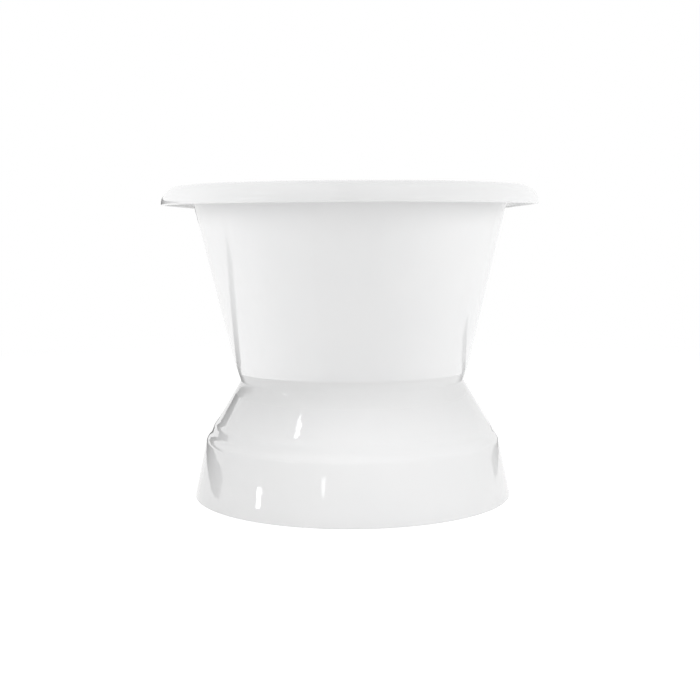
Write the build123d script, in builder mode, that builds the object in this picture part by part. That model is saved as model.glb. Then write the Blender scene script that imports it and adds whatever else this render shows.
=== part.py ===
from build123d import *
import os
from math import asin, cos, radians, sin, sqrt, tan

# Double ended bath on a one-piece plinth. Millimetres and degrees.
# X runs along the bath, Y across it, Z up; the origin is on the floor under the middle.

# Rim
RIM_LENGTH = 1676.0
RIM_WIDTH = 762.0
RIM_HEIGHT = 655.0
ROLL_REACH = 38.0  # width of the rounded outer half of the rim
ROLL_DROP = 36.0  # height of that rounding
LIP_EDGE = 3.0  # radius of the lip's lower edge
LIP_OVERHANG = 65.0  # from the wall's outside to the lip's outside
CREST_WIDTH = 10.0  # flat top between the outer and the inner rounding

# Bath walls, outside
SIDE_LEAN = 11.4  # long walls, from upright
END_LEAN = 26.2  # end walls, from upright
BELLY_HEIGHT = 299.0  # below it the walls curve inward
BELLY_RADIUS = 350.0
WAIST_HEIGHT = 240.0  # top of the plinth
FLOOR_HEIGHT = 190.0  # underside of the bath's floor
WALL = 7.0  # casting with its enamel
FLOOR_STEPS = 7  # levels in the stack of outlines below the waist, in the belly and above it
BELLY_STEPS = 3
WALL_STEPS = 4
ROLL_STEPS = 5  # levels in the inner rounding of the rim

# Plinth, measured outward from its top edge and up from the floor
JOINT_GAP = 0.8  # between bath and plinth
BEAD_RISE = 8.0  # sealant bead on the plinth's top edge
PLINTH_LAND = 6.0  # flat top edge
SHOULDER_OUT = 48.5
SHOULDER_FOOT = 160.0  # height of the crease under the shoulder
STEP_OUT = 6.0  # each of the two small steps
STEP_DROP = 4.0
BAND_OUT = 7.0
BAND_FOOT = 135.0  # height of the crease under the moulded band
SKIRT_TOP = 122.0
SKIRT_TOP_OUT = 78.0
SKIRT_FOOT_OUT = 104.0
SKIRT_EDGE = 8.0  # radius of the skirt's top edge
FOOT_EDGE = 2.5
PLINTH_WALL = 8.0
PLINTH_CLEARANCE = 5.0  # around a pipe that passes the plinth

# Hold-down fixings
SUPPORT_X = 260.0
SUPPORT_Y = 100.0
BOSS_RADIUS = 20.0
BOSS_DEPTH = 16.0
PAD_THICKNESS = 5.0
RIB_THICKNESS = 14.0
RIB_DEPTH = 32.0
RIB_BOSS_RADIUS = 22.0
STUD_RADIUS = 6.0
STUD_BITE = 14.0  # depth screwed into the bath's boss
STUD_TAIL = 8.0  # stud left below its nut
STUD_HOLE_RADIUS = 6.8
THREAD_CLEARANCE = 0.05
WASHER_RADIUS = 14.0
WASHER_THICKNESS = 2.5
NUT_HEIGHT = 10.0
NUT_ACROSS_FLATS = 18.0

# Drain, at the middle of the floor
DRAIN_HOLE_RADIUS = 26.0
FLANGE_RADIUS = 36.0
FLANGE_THICKNESS = 3.0
DRAIN_BODY_RADIUS = 22.5
DRAIN_BODY_BORE = 19.0
DRAIN_BODY_LENGTH = 38.0
DRAIN_SEAT_CHAMFER = 2.0
CROSS_BAR = 4.0
CROSS_RISE = 6.0  # cross bars above the body's lower end
CROSS_BOSS_RADIUS = 8.0
PUTTY_THICKNESS = 1.5
DRAIN_GASKET_THICKNESS = 4.0
SHOE_FLANGE_RADIUS = 33.0
SHOE_FLANGE_THICKNESS = 5.0
SHOE_RADIUS = 27.5
SHOE_FLOOR = 5.0
WASTE_HEIGHT = 100.0  # axis of the level waste pipe
SHOE_ARM = 58.0

# Pipes and their slip joints
PIPE_RADIUS = 19.05
PIPE_WALL = 1.5
ARM_RADIUS = 22.5
ARM_INSERT = 18.0  # length of pipe inside a fitting
PIPE_CLEARANCE = 0.1
SLIP_NUT_RADIUS = 26.0
SLIP_NUT_SIDES = 8
SLIP_NUT_GRIP = 10.0
SLIP_NUT_SPACE = 2.0  # between neighbouring nuts
SLIP_NUT_WEB = 3.5
SLIP_WASHER_THICKNESS = 4.0
TAIL_HEIGHT = 12.0  # open end of the outlet above the floor
TAIL_THREAD_RADIUS = 20.2  # its upper end screws into the tee

# Overflow
OVERFLOW_DROP = 135.0  # from the rim's top to the overflow's middle
OVERFLOW_PIPE_RADIUS = 17.45
OVERFLOW_HOLE_RADIUS = 30.0
OVERFLOW_GASKET_THICKNESS = 3.0
OVERFLOW_FLANGE_RADIUS = 38.0
OVERFLOW_FLANGE_THICKNESS = 5.0
OVERFLOW_BODY_RADIUS = 24.0
OVERFLOW_BODY_BORE = 19.0
OVERFLOW_SHELL = 4.0  # outer end of the head
OVERFLOW_CROWN = 1.5  # head's end beyond its arm
OVERFLOW_ARM = 50.0
PIPE_STANDOFF = 27.0  # pipe's axis off the wall's outside
BEND_HEIGHT = 200.0
BEND_RADIUS = 110.0
PLATE_RADIUS = 39.0
PLATE_THICKNESS = 3.0
PLATE_HOLES = 6
PLATE_HOLE_RADIUS = 4.0
PLATE_HOLE_CIRCLE = 13.0
SCREW_OFFSET = 27.0
SCREW_RADIUS = 2.5
SCREW_CLEARANCE = 0.3
SCREW_HEAD_RADIUS = 4.5
SCREW_HEAD_HEIGHT = 2.5

# Push stopper
CARTRIDGE_RADIUS = 7.5
CARTRIDGE_THREAD_RADIUS = 4.8
CARTRIDGE_LENGTH = 20.0
STEM_RADIUS = 4.0
STEM_CLEARANCE = 0.08
STEM_LENGTH = 27.0
CAP_RADIUS = 28.0
CAP_THICKNESS = 3.0
CAP_CROWN = 2.0  # rise of the domed top
CAP_BOSS_RADIUS = 6.5
CAP_BOSS_DEPTH = 7.0
SEAL_RADIUS = 25.0
SEAL_THICKNESS = 2.5
SEAT_GAP = 0.3  # closed seal above the drain flange

# Heights and outlines that follow from the sizes above
LIP_HEIGHT = RIM_HEIGHT - ROLL_DROP - LIP_EDGE
RIM_RADIUS = RIM_WIDTH / 2
RIM_STRAIGHT = RIM_LENGTH / 2 - RIM_RADIUS
SIDE_AT_LIP = RIM_WIDTH / 2 - LIP_OVERHANG
END_AT_LIP = RIM_LENGTH / 2 - LIP_OVERHANG
CREST_RADIUS = RIM_RADIUS - ROLL_REACH - CREST_WIDTH
ROLL_START = LIP_HEIGHT + LIP_EDGE
OVERFLOW_HEIGHT = RIM_HEIGHT - OVERFLOW_DROP
TEE_ARM = SLIP_NUT_RADIUS + SLIP_NUT_GRIP + SLIP_NUT_SPACE


def reach(height, at_lip, lean, inset=0.0):
    """Distance from the middle to a wall at a height, taken inset inside the outer face."""
    turn = radians(lean)
    belly_turn = asin(sin(turn) + (BELLY_HEIGHT - WAIST_HEIGHT) / BELLY_RADIUS)
    floor_radius = (WAIST_HEIGHT - FLOOR_HEIGHT) / (1 - sin(belly_turn))
    belly_top = at_lip - (LIP_HEIGHT - BELLY_HEIGHT) * tan(turn)
    if height >= BELLY_HEIGHT + inset * sin(turn):
        return belly_top + (height - BELLY_HEIGHT) * tan(turn) - inset / cos(turn)
    belly_middle = belly_top - BELLY_RADIUS * cos(turn)
    waist = belly_middle + BELLY_RADIUS * cos(belly_turn)
    if height >= WAIST_HEIGHT + inset * sin(belly_turn):
        drop = BELLY_HEIGHT + BELLY_RADIUS * sin(turn) - height
        return belly_middle + sqrt((BELLY_RADIUS - inset) ** 2 - drop**2)
    drop = FLOOR_HEIGHT + floor_radius - height
    spread = max((floor_radius - inset) ** 2 - drop**2, 0.0)
    return waist - floor_radius * cos(belly_turn) + sqrt(spread)


def rolled_reach(height, at_lip, lean, straight):
    """Distance from the middle to the inside of the rolled rim at a height."""
    rise = RIM_HEIGHT - ROLL_START
    start = reach(ROLL_START, at_lip, lean, WALL)
    corner = start + rise * tan(radians(lean))
    crest = straight + CREST_RADIUS
    left = sqrt(max(RIM_HEIGHT - height, 0.0) / rise)
    return left**2 * start + 2 * left * (1 - left) * corner + (1 - left) ** 2 * crest


def stacked(heights, size_at):
    """Solid through a stack of stadium outlines; size_at gives half width and half length."""
    with BuildPart() as stack:
        for height in heights:
            half_width, half_length = size_at(height)
            with BuildSketch(Plane.XY.offset(height)):
                SlotCenterToCenter(2 * (half_length - half_width), 2 * half_width)
        loft(ruled=True)
    return stack.part


def bath_heights(bottom):
    """Levels of the stacked outlines, closer together where the wall curves."""
    levels = []
    for step in range(FLOOR_STEPS):
        levels.append(bottom + (WAIST_HEIGHT - bottom) * (step / FLOOR_STEPS) ** 2)
    for step in range(BELLY_STEPS):
        levels.append(WAIST_HEIGHT + (BELLY_HEIGHT - WAIST_HEIGHT) * step / BELLY_STEPS)
    for step in range(WALL_STEPS):
        levels.append(BELLY_HEIGHT + (LIP_HEIGHT - BELLY_HEIGHT) * step / WALL_STEPS)
    return levels


def carried_round(outline, straight):
    """Solid that carries a half section, drawn outward and up, round a stadium."""
    with BuildPart() as body:
        for side in (1, -1):
            cut = Plane((side * straight, 0, 0), x_dir=(0, -side, 0), z_dir=(-side, 0, 0))
            with BuildSketch(cut) as half:
                add(outline)
            extrude(half.sketch, amount=2 * straight)
            revolve(half.sketch, axis=Axis((side * straight, 0, 0), (0, 0, 1)), revolution_arc=180)
    return body.part


def tube_between(start, end, outer, inner):
    """Straight tube from start to end."""
    run = end - start
    with BuildPart() as tube:
        with BuildSketch(Plane(start, z_dir=run)):
            Circle(outer)
            Circle(inner, mode=Mode.SUBTRACT)
        extrude(amount=run.length)
    return tube.part


def rod_between(start, end, radius):
    """Straight round rod from start to end."""
    run = end - start
    with BuildPart() as rod:
        with BuildSketch(Plane(start, z_dir=run)):
            Circle(radius)
        extrude(amount=run.length)
    return rod.part


# Bath: the space outside its walls, the space inside them and the rolled rim
def outside_size(height):
    """Half width and half length of the bath's outer face."""
    return reach(height, SIDE_AT_LIP, SIDE_LEAN), reach(height, END_AT_LIP, END_LEAN)


def inside_size(height):
    """Half width and half length of the bath's inner face, rolled rim included."""
    if height > ROLL_START:
        side = rolled_reach(height, SIDE_AT_LIP, SIDE_LEAN, 0.0)
        return side, rolled_reach(height, END_AT_LIP, END_LEAN, RIM_STRAIGHT)
    side = reach(height, SIDE_AT_LIP, SIDE_LEAN, WALL)
    return side, reach(height, END_AT_LIP, END_LEAN, WALL)


roll_levels = [
    RIM_HEIGHT - (RIM_HEIGHT - ROLL_START) * (1 - step / ROLL_STEPS) ** 2
    for step in range(ROLL_STEPS + 1)
]
bath_outside = stacked(bath_heights(FLOOR_HEIGHT) + [LIP_HEIGHT], outside_size)
bath_inside = stacked(bath_heights(FLOOR_HEIGHT + WALL) + roll_levels, inside_size)

with BuildSketch() as rim_section:
    with BuildLine():
        roll_centre = (RIM_RADIUS - ROLL_REACH, RIM_HEIGHT - ROLL_DROP)
        foot = Line((0, LIP_HEIGHT), (RIM_RADIUS - LIP_EDGE, LIP_HEIGHT))
        edge = RadiusArc(foot @ 1, (RIM_RADIUS, LIP_HEIGHT + LIP_EDGE), -LIP_EDGE)
        roll = EllipticalCenterArc(roll_centre, ROLL_REACH, ROLL_DROP, start_angle=0, arc_size=90)
        Polyline(roll @ 1, (0, RIM_HEIGHT), foot @ 0)
    make_face()

with BuildSketch() as channel_section:
    with BuildLine():
        hollow = EllipticalCenterArc(
            roll_centre, ROLL_REACH - WALL, ROLL_DROP - WALL, start_angle=0, arc_size=90
        )
        climb = (ROLL_DROP - WALL) / 2  # up the wall's outside, half the channel's depth
        inner_foot = (SIDE_AT_LIP, LIP_HEIGHT)
        inner_top = (SIDE_AT_LIP + climb * tan(radians(END_LEAN)), LIP_HEIGHT + climb)
        outer_foot = (RIM_RADIUS - WALL, LIP_HEIGHT)
        Polyline(hollow @ 1, inner_top, inner_foot, outer_foot, hollow @ 0)
    make_face()

rim_block = carried_round(rim_section.sketch, RIM_STRAIGHT)
rim_channel = carried_round(channel_section.sketch, RIM_STRAIGHT)

# Overflow seat on the outside of the wall at -Y: local Z points outward, local Y up the wall
wall_turn = radians(SIDE_LEAN)
overflow_side = reach(OVERFLOW_HEIGHT, SIDE_AT_LIP, SIDE_LEAN)
overflow_seat = Plane(
    (0, -overflow_side, OVERFLOW_HEIGHT),
    x_dir=(1, 0, 0),
    z_dir=(0, -cos(wall_turn), -sin(wall_turn)),
)

support_points = [(x, y) for x in (-SUPPORT_X, SUPPORT_X) for y in (-SUPPORT_Y, SUPPORT_Y)]
boss_foot = FLOOR_HEIGHT - BOSS_DEPTH
stud_top = boss_foot + STUD_BITE

with BuildPart() as tub_shell:
    add(bath_outside)
    add(rim_block)
    add(bath_inside, mode=Mode.SUBTRACT)
    add(rim_channel, mode=Mode.SUBTRACT)
    with BuildSketch(Plane.XY.offset(boss_foot)):
        with Locations(*support_points):
            Circle(BOSS_RADIUS)
    extrude(amount=BOSS_DEPTH + WALL / 2)
    with BuildSketch(Plane.XY.offset(boss_foot)):
        with Locations(*support_points):
            Circle(STUD_RADIUS + THREAD_CLEARANCE)
    extrude(amount=STUD_BITE + THREAD_CLEARANCE, mode=Mode.SUBTRACT)
    with BuildSketch(Plane.XY.offset(FLOOR_HEIGHT)):
        Circle(DRAIN_HOLE_RADIUS)
    extrude(amount=WALL, mode=Mode.SUBTRACT)
    with BuildSketch(overflow_seat):
        Circle(OVERFLOW_HOLE_RADIUS)
    extrude(amount=-2 * WALL, mode=Mode.SUBTRACT)

# Plinth: its stadium follows the bath's outline at the waist
waist_side, waist_end = outside_size(WAIST_HEIGHT)
plinth_straight = waist_end - waist_side
plinth_edge = waist_side + JOINT_GAP
land_edge = plinth_edge + PLINTH_LAND
shoulder_foot = (land_edge + SHOULDER_OUT, SHOULDER_FOOT)
band_top = (shoulder_foot[0] + STEP_OUT, SHOULDER_FOOT - STEP_DROP)
band_foot = (band_top[0] + BAND_OUT, BAND_FOOT)
skirt_step = (band_foot[0] + STEP_OUT, BAND_FOOT - STEP_DROP)
skirt_top = (plinth_edge + SKIRT_TOP_OUT, SKIRT_TOP)
skirt_foot = (plinth_edge + SKIRT_FOOT_OUT, 0.0)

with BuildSketch() as plinth_filled:
    with BuildLine():
        Polyline(
            (0, 0), skirt_foot, skirt_top, skirt_step, band_foot, band_top, shoulder_foot,
            (land_edge, WAIST_HEIGHT), (0, WAIST_HEIGHT), (0, 0),
        )
    make_face()
    corners = plinth_filled.vertices()
    fillet(corners.sort_by_distance((*skirt_foot, 0))[0], FOOT_EDGE)
    fillet(corners.sort_by_distance((*skirt_top, 0))[0], SKIRT_EDGE)
    fillet(corners.sort_by_distance((*band_top, 0))[0], STEP_OUT)

with BuildSketch() as plinth_hollow:
    with BuildLine():
        Polyline(
            (0, 0),
            (skirt_foot[0] - PLINTH_WALL, 0),
            (skirt_top[0] - PLINTH_WALL, SKIRT_TOP),
            (band_foot[0] - PLINTH_WALL, BAND_FOOT),
            (shoulder_foot[0] - PLINTH_WALL, SHOULDER_FOOT),
            (plinth_edge, WAIST_HEIGHT - PLINTH_LAND),
            (plinth_edge, WAIST_HEIGHT),
            (0, WAIST_HEIGHT),
            (0, 0),
        )
    make_face()

plinth_block = carried_round(plinth_filled.sketch, plinth_straight)
plinth_room = carried_round(plinth_hollow.sketch, plinth_straight)

# Overflow pipe: parallel to the wall, then upright into the tee
pipe_top = Vector(overflow_seat.from_local_coords((0, -OVERFLOW_ARM + ARM_INSERT, PIPE_STANDOFF)))
pipe_bend_y = pipe_top.Y + (pipe_top.Z - BEND_HEIGHT) * tan(wall_turn)
tee_centre = Vector(0, pipe_bend_y, WASTE_HEIGHT)
pipe_bend = Vector(0, pipe_bend_y, BEND_HEIGHT)
pipe_foot = tee_centre + Vector(0, 0, TEE_ARM - ARM_INSERT)
with BuildLine() as overflow_path:
    FilletPolyline(pipe_top, pipe_bend, pipe_foot, radius=BEND_RADIUS)
pipe_start = Plane(pipe_top, z_dir=pipe_bend - pipe_top)

with BuildPart() as pipe_passage:
    with BuildSketch(pipe_start):
        Circle(OVERFLOW_PIPE_RADIUS + PLINTH_CLEARANCE)
    sweep(path=overflow_path.line)

rib_top = boss_foot - PAD_THICKNESS
with BuildPart() as plinth_ribs:
    with BuildSketch(Plane.XY.offset(rib_top)):
        with Locations((-SUPPORT_X, 0), (SUPPORT_X, 0)):
            Rectangle(RIB_THICKNESS, 2 * skirt_foot[0])
        with Locations(*support_points):
            Circle(RIB_BOSS_RADIUS)
    extrude(amount=-RIB_DEPTH)
    add(plinth_block, mode=Mode.INTERSECT)
    with BuildSketch(Plane.XY.offset(rib_top)):
        with Locations(*support_points):
            Circle(STUD_HOLE_RADIUS)
    extrude(amount=-RIB_DEPTH, mode=Mode.SUBTRACT)

with BuildPart() as pedestal:
    add(plinth_block)
    add(plinth_room, mode=Mode.SUBTRACT)
    add(plinth_ribs.part)
    add(pipe_passage.part, mode=Mode.SUBTRACT)


# Sealant bead on the plinth's land, against the bath
def bead_outside(height):
    """Half width and half length of the bead's outer face."""
    side, end = outside_size(height)
    spread = JOINT_GAP + PLINTH_LAND * (WAIST_HEIGHT + BEAD_RISE - height) / BEAD_RISE
    return side + spread, end + spread


def bead_inside(height):
    """Half width and half length of the bead's inner face, just off the bath."""
    side, end = outside_size(height)
    return side + PIPE_CLEARANCE, end + PIPE_CLEARANCE


bead_levels = [WAIST_HEIGHT, WAIST_HEIGHT + BEAD_RISE / 2, WAIST_HEIGHT + BEAD_RISE]
bead_outer = stacked(bead_levels, bead_outside)
bead_inner = stacked(bead_levels, bead_inside)
with BuildPart() as joint_sealant:
    add(bead_outer)
    add(bead_inner, mode=Mode.SUBTRACT)
    add(pipe_passage.part, mode=Mode.SUBTRACT)

# Hold-down fixings, one at each support point
rib_foot = rib_top - RIB_DEPTH
washer_foot = rib_foot - WASHER_THICKNESS
nut_foot = washer_foot - NUT_HEIGHT

with BuildPart() as support_pads:
    with BuildSketch(Plane.XY.offset(rib_top)):
        with Locations(*support_points):
            Circle(BOSS_RADIUS)
            Circle(STUD_HOLE_RADIUS, mode=Mode.SUBTRACT)
    extrude(amount=PAD_THICKNESS)

with BuildPart() as base_studs:
    with BuildSketch(Plane.XY.offset(nut_foot - STUD_TAIL)):
        with Locations(*support_points):
            Circle(STUD_RADIUS)
    extrude(amount=stud_top - nut_foot + STUD_TAIL)

with BuildPart() as base_washers:
    with BuildSketch(Plane.XY.offset(washer_foot)):
        with Locations(*support_points):
            Circle(WASHER_RADIUS)
            Circle(STUD_HOLE_RADIUS, mode=Mode.SUBTRACT)
    extrude(amount=WASHER_THICKNESS)

with BuildPart() as base_nuts:
    with BuildSketch(Plane.XY.offset(nut_foot)):
        with Locations(*support_points):
            RegularPolygon(NUT_ACROSS_FLATS / 2, 6, major_radius=False)
            Circle(STUD_RADIUS + THREAD_CLEARANCE, mode=Mode.SUBTRACT)
    extrude(amount=NUT_HEIGHT)

# Drain: putty, flange with its cross, gasket and shoe
floor_top = FLOOR_HEIGHT + WALL
flange_foot = floor_top + PUTTY_THICKNESS
flange_top = flange_foot + FLANGE_THICKNESS
drain_foot = flange_foot - DRAIN_BODY_LENGTH
cross_foot = drain_foot + CROSS_RISE
cross_top = cross_foot + CROSS_BAR
shoe_top = FLOOR_HEIGHT - DRAIN_GASKET_THICKNESS

with BuildPart() as drain_bead:
    with BuildSketch(Plane.XY.offset(floor_top)):
        Circle(FLANGE_RADIUS)
        Circle(DRAIN_HOLE_RADIUS, mode=Mode.SUBTRACT)
    extrude(amount=PUTTY_THICKNESS)

with BuildPart() as drain_flange:
    with BuildSketch(Plane.XY.offset(flange_foot)):
        Circle(FLANGE_RADIUS)
    extrude(amount=FLANGE_THICKNESS)
    fillet(drain_flange.faces().sort_by(Axis.Z)[-1].edges(), FLANGE_THICKNESS / 2)
    with BuildSketch(Plane.XY.offset(drain_foot)):
        Circle(DRAIN_BODY_RADIUS)
    extrude(amount=DRAIN_BODY_LENGTH)
    with BuildSketch(Plane.XY.offset(drain_foot)):
        Circle(DRAIN_BODY_BORE)
    extrude(amount=DRAIN_BODY_LENGTH + FLANGE_THICKNESS, mode=Mode.SUBTRACT)
    mouth = drain_flange.edges().filter_by(GeomType.CIRCLE)
    mouth = mouth.filter_by(lambda rim: abs(rim.radius - DRAIN_BODY_BORE) < THREAD_CLEARANCE)
    chamfer(mouth.sort_by(Axis.Z)[-1], DRAIN_SEAT_CHAMFER)
    with BuildSketch(Plane.XY.offset(cross_foot)):
        Rectangle(2 * DRAIN_BODY_BORE + CROSS_BAR, CROSS_BAR)
        Rectangle(CROSS_BAR, 2 * DRAIN_BODY_BORE + CROSS_BAR)
        Circle(CROSS_BOSS_RADIUS)
        Circle(CARTRIDGE_THREAD_RADIUS + THREAD_CLEARANCE, mode=Mode.SUBTRACT)
    extrude(amount=CROSS_BAR)

with BuildPart() as drain_gasket:
    with BuildSketch(Plane.XY.offset(shoe_top)):
        Circle(SHOE_FLANGE_RADIUS)
        Circle(DRAIN_BODY_RADIUS + PIPE_CLEARANCE, mode=Mode.SUBTRACT)
    extrude(amount=DRAIN_GASKET_THICKNESS)

pipe_bore = PIPE_RADIUS - PIPE_WALL
overflow_bore = OVERFLOW_PIPE_RADIUS - PIPE_WALL
shoe_base = WASTE_HEIGHT - PIPE_RADIUS - SHOE_FLOOR
arm_end = Vector(0, -SHOE_ARM, WASTE_HEIGHT)
shoe_arm = rod_between(Vector(0, 0, WASTE_HEIGHT), arm_end, ARM_RADIUS)
arm_socket = rod_between(
    arm_end + Vector(0, ARM_INSERT + PIPE_CLEARANCE, 0), arm_end, PIPE_RADIUS + PIPE_CLEARANCE
)
arm_waterway = rod_between(Vector(0, 0, WASTE_HEIGHT), arm_end, pipe_bore)
with BuildPart() as waste_shoe:
    with BuildSketch(Plane.XY.offset(shoe_top)):
        Circle(SHOE_FLANGE_RADIUS)
    extrude(amount=-SHOE_FLANGE_THICKNESS)
    with BuildSketch(Plane.XY.offset(shoe_base)):
        Circle(SHOE_RADIUS)
    extrude(amount=shoe_top - shoe_base)
    add(shoe_arm)
    with BuildSketch(Plane.XY.offset(drain_foot - PIPE_CLEARANCE)):
        Circle(DRAIN_BODY_RADIUS + THREAD_CLEARANCE)
    extrude(amount=shoe_top - drain_foot + PIPE_CLEARANCE, mode=Mode.SUBTRACT)
    with BuildSketch(Plane.XY.offset(shoe_base + SHOE_FLOOR)):
        Circle(DRAIN_BODY_BORE)
    extrude(amount=drain_foot - shoe_base - SHOE_FLOOR, mode=Mode.SUBTRACT)
    add(arm_waterway, mode=Mode.SUBTRACT)
    add(arm_socket, mode=Mode.SUBTRACT)

# Tee: upright body with one arm toward the drain; slip joints above and beside, a thread below
tee_top = tee_centre + Vector(0, 0, TEE_ARM)
tee_foot = tee_centre - Vector(0, 0, TEE_ARM)
tee_side = tee_centre + Vector(0, TEE_ARM, 0)
tee_mouths = [
    (tee_top, overflow_bore, OVERFLOW_PIPE_RADIUS + PIPE_CLEARANCE),
    (tee_side, pipe_bore, PIPE_RADIUS + PIPE_CLEARANCE),
    (tee_foot, pipe_bore, TAIL_THREAD_RADIUS + THREAD_CLEARANCE),
]
with BuildPart() as waste_tee:
    add(rod_between(tee_foot, tee_top, ARM_RADIUS))
    add(rod_between(tee_centre, tee_side, ARM_RADIUS))
    for mouth_point, mouth_bore, mouth_socket in tee_mouths:
        add(rod_between(tee_centre, mouth_point, mouth_bore), mode=Mode.SUBTRACT)
        inward = (tee_centre - mouth_point).normalized() * (ARM_INSERT + PIPE_CLEARANCE)
        socket = rod_between(mouth_point + inward, mouth_point, mouth_socket)
        add(socket, mode=Mode.SUBTRACT)

shoe_pipe_start = arm_end + Vector(0, ARM_INSERT, 0)
shoe_pipe_end = tee_side - Vector(0, ARM_INSERT, 0)
with BuildPart() as shoe_pipe:
    add(tube_between(shoe_pipe_start, shoe_pipe_end, PIPE_RADIUS, pipe_bore))

tail_top = tee_foot + Vector(0, 0, ARM_INSERT)
tail_end = Vector(0, tee_centre.Y, TAIL_HEIGHT)
with BuildPart() as tailpiece:
    add(tube_between(tail_top, tee_foot, TAIL_THREAD_RADIUS, pipe_bore))
    add(tube_between(tee_foot, tail_end, PIPE_RADIUS, pipe_bore))

with BuildPart() as overflow_pipe:
    with BuildSketch(pipe_start):
        Circle(OVERFLOW_PIPE_RADIUS)
        Circle(overflow_bore, mode=Mode.SUBTRACT)
    sweep(path=overflow_path.line)

# Overflow head: gasket, flanged elbow, face plate and screws, on the seat's own plane
head_foot = OVERFLOW_GASKET_THICKNESS
head_end = PIPE_STANDOFF + ARM_RADIUS + OVERFLOW_CROWN
head_elbow = Vector(overflow_seat.from_local_coords((0, 0, PIPE_STANDOFF)))
head_mouth = Vector(overflow_seat.from_local_coords((0, -OVERFLOW_ARM, PIPE_STANDOFF)))
head_inward = (head_elbow - head_mouth).normalized() * (ARM_INSERT + PIPE_CLEARANCE)
head_arm = rod_between(head_elbow, head_mouth, ARM_RADIUS)
head_waterway = rod_between(head_elbow, head_mouth, overflow_bore)
head_socket = rod_between(
    head_mouth + head_inward, head_mouth, OVERFLOW_PIPE_RADIUS + PIPE_CLEARANCE
)

with BuildPart() as overflow_gasket:
    with BuildSketch(overflow_seat):
        Circle(OVERFLOW_FLANGE_RADIUS)
        Circle(OVERFLOW_HOLE_RADIUS, mode=Mode.SUBTRACT)
    extrude(amount=OVERFLOW_GASKET_THICKNESS)

with BuildPart() as overflow_head:
    with BuildSketch(overflow_seat.offset(head_foot)):
        Circle(OVERFLOW_FLANGE_RADIUS)
    extrude(amount=OVERFLOW_FLANGE_THICKNESS)
    with BuildSketch(overflow_seat.offset(head_foot)):
        Circle(OVERFLOW_BODY_RADIUS)
    extrude(amount=head_end - head_foot)
    add(head_arm)
    with BuildSketch(overflow_seat.offset(head_foot)):
        Circle(OVERFLOW_BODY_BORE)
    extrude(amount=head_end - head_foot - OVERFLOW_SHELL, mode=Mode.SUBTRACT)
    add(head_waterway, mode=Mode.SUBTRACT)
    add(head_socket, mode=Mode.SUBTRACT)
    with BuildSketch(overflow_seat.offset(head_foot)):
        with Locations((-SCREW_OFFSET, 0), (SCREW_OFFSET, 0)):
            Circle(SCREW_RADIUS + THREAD_CLEARANCE)
    extrude(amount=OVERFLOW_FLANGE_THICKNESS, mode=Mode.SUBTRACT)

plate_face = -WALL - PLATE_THICKNESS
with BuildPart() as overflow_plate:
    with BuildSketch(overflow_seat.offset(plate_face)):
        Circle(PLATE_RADIUS)
    extrude(amount=PLATE_THICKNESS)
    plate_rims = overflow_plate.edges().filter_by(GeomType.CIRCLE)
    front_centre = overflow_seat.offset(plate_face).origin
    fillet(plate_rims.sort_by_distance(front_centre)[0], PLATE_THICKNESS / 2)
    with BuildSketch(overflow_seat.offset(plate_face)):
        with PolarLocations(PLATE_HOLE_CIRCLE, PLATE_HOLES):
            Circle(PLATE_HOLE_RADIUS)
        with Locations((-SCREW_OFFSET, 0), (SCREW_OFFSET, 0)):
            Circle(SCREW_RADIUS + SCREW_CLEARANCE)
    extrude(amount=PLATE_THICKNESS, mode=Mode.SUBTRACT)

with BuildPart() as overflow_screws:
    with BuildSketch(overflow_seat.offset(plate_face)):
        with Locations((-SCREW_OFFSET, 0), (SCREW_OFFSET, 0)):
            Circle(SCREW_RADIUS)
    extrude(amount=head_foot + OVERFLOW_FLANGE_THICKNESS - plate_face)
    with BuildSketch(overflow_seat.offset(plate_face)):
        with Locations((-SCREW_OFFSET, 0), (SCREW_OFFSET, 0)):
            Circle(SCREW_HEAD_RADIUS)
    extrude(amount=-SCREW_HEAD_HEIGHT)

# Slip joints: at the mouths that take a plain pipe, with Z leaving the fitting along it
slip_joints = [
    (Plane(head_mouth, z_dir=overflow_seat.y_dir * -1), OVERFLOW_PIPE_RADIUS),
    (Plane(tee_top, z_dir=(0, 0, 1)), OVERFLOW_PIPE_RADIUS),
    (Plane(tee_side, z_dir=(0, 1, 0)), PIPE_RADIUS),
    (Plane(arm_end, z_dir=(0, -1, 0)), PIPE_RADIUS),
]

with BuildPart() as slip_nuts:
    for joint, joint_pipe in slip_joints:
        with BuildSketch(joint.offset(-SLIP_NUT_GRIP)):
            RegularPolygon(SLIP_NUT_RADIUS, SLIP_NUT_SIDES)
        extrude(amount=SLIP_NUT_GRIP + SLIP_WASHER_THICKNESS + SLIP_NUT_WEB)
        with BuildSketch(joint.offset(-SLIP_NUT_GRIP)):
            Circle(ARM_RADIUS + THREAD_CLEARANCE)
        extrude(amount=SLIP_NUT_GRIP + SLIP_WASHER_THICKNESS, mode=Mode.SUBTRACT)
        with BuildSketch(joint.offset(SLIP_WASHER_THICKNESS)):
            Circle(joint_pipe + PIPE_CLEARANCE)
        extrude(amount=SLIP_NUT_WEB, mode=Mode.SUBTRACT)

with BuildPart() as slip_washers:
    for joint, joint_pipe in slip_joints:
        with BuildSketch(joint):
            Circle(ARM_RADIUS - THREAD_CLEARANCE)
            Circle(joint_pipe + THREAD_CLEARANCE, mode=Mode.SUBTRACT)
        extrude(amount=SLIP_WASHER_THICKNESS)

# Push stopper: cartridge in the cross, and the stem, cap and seal that travel
cartridge_top = cross_top + CARTRIDGE_LENGTH
stem_bore = STEM_RADIUS + STEM_CLEARANCE
seal_foot = flange_top + SEAT_GAP
cap_foot = seal_foot + SEAL_THICKNESS
stem_top = cap_foot - CAP_THICKNESS / 2
stem_foot = stem_top - STEM_LENGTH

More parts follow.
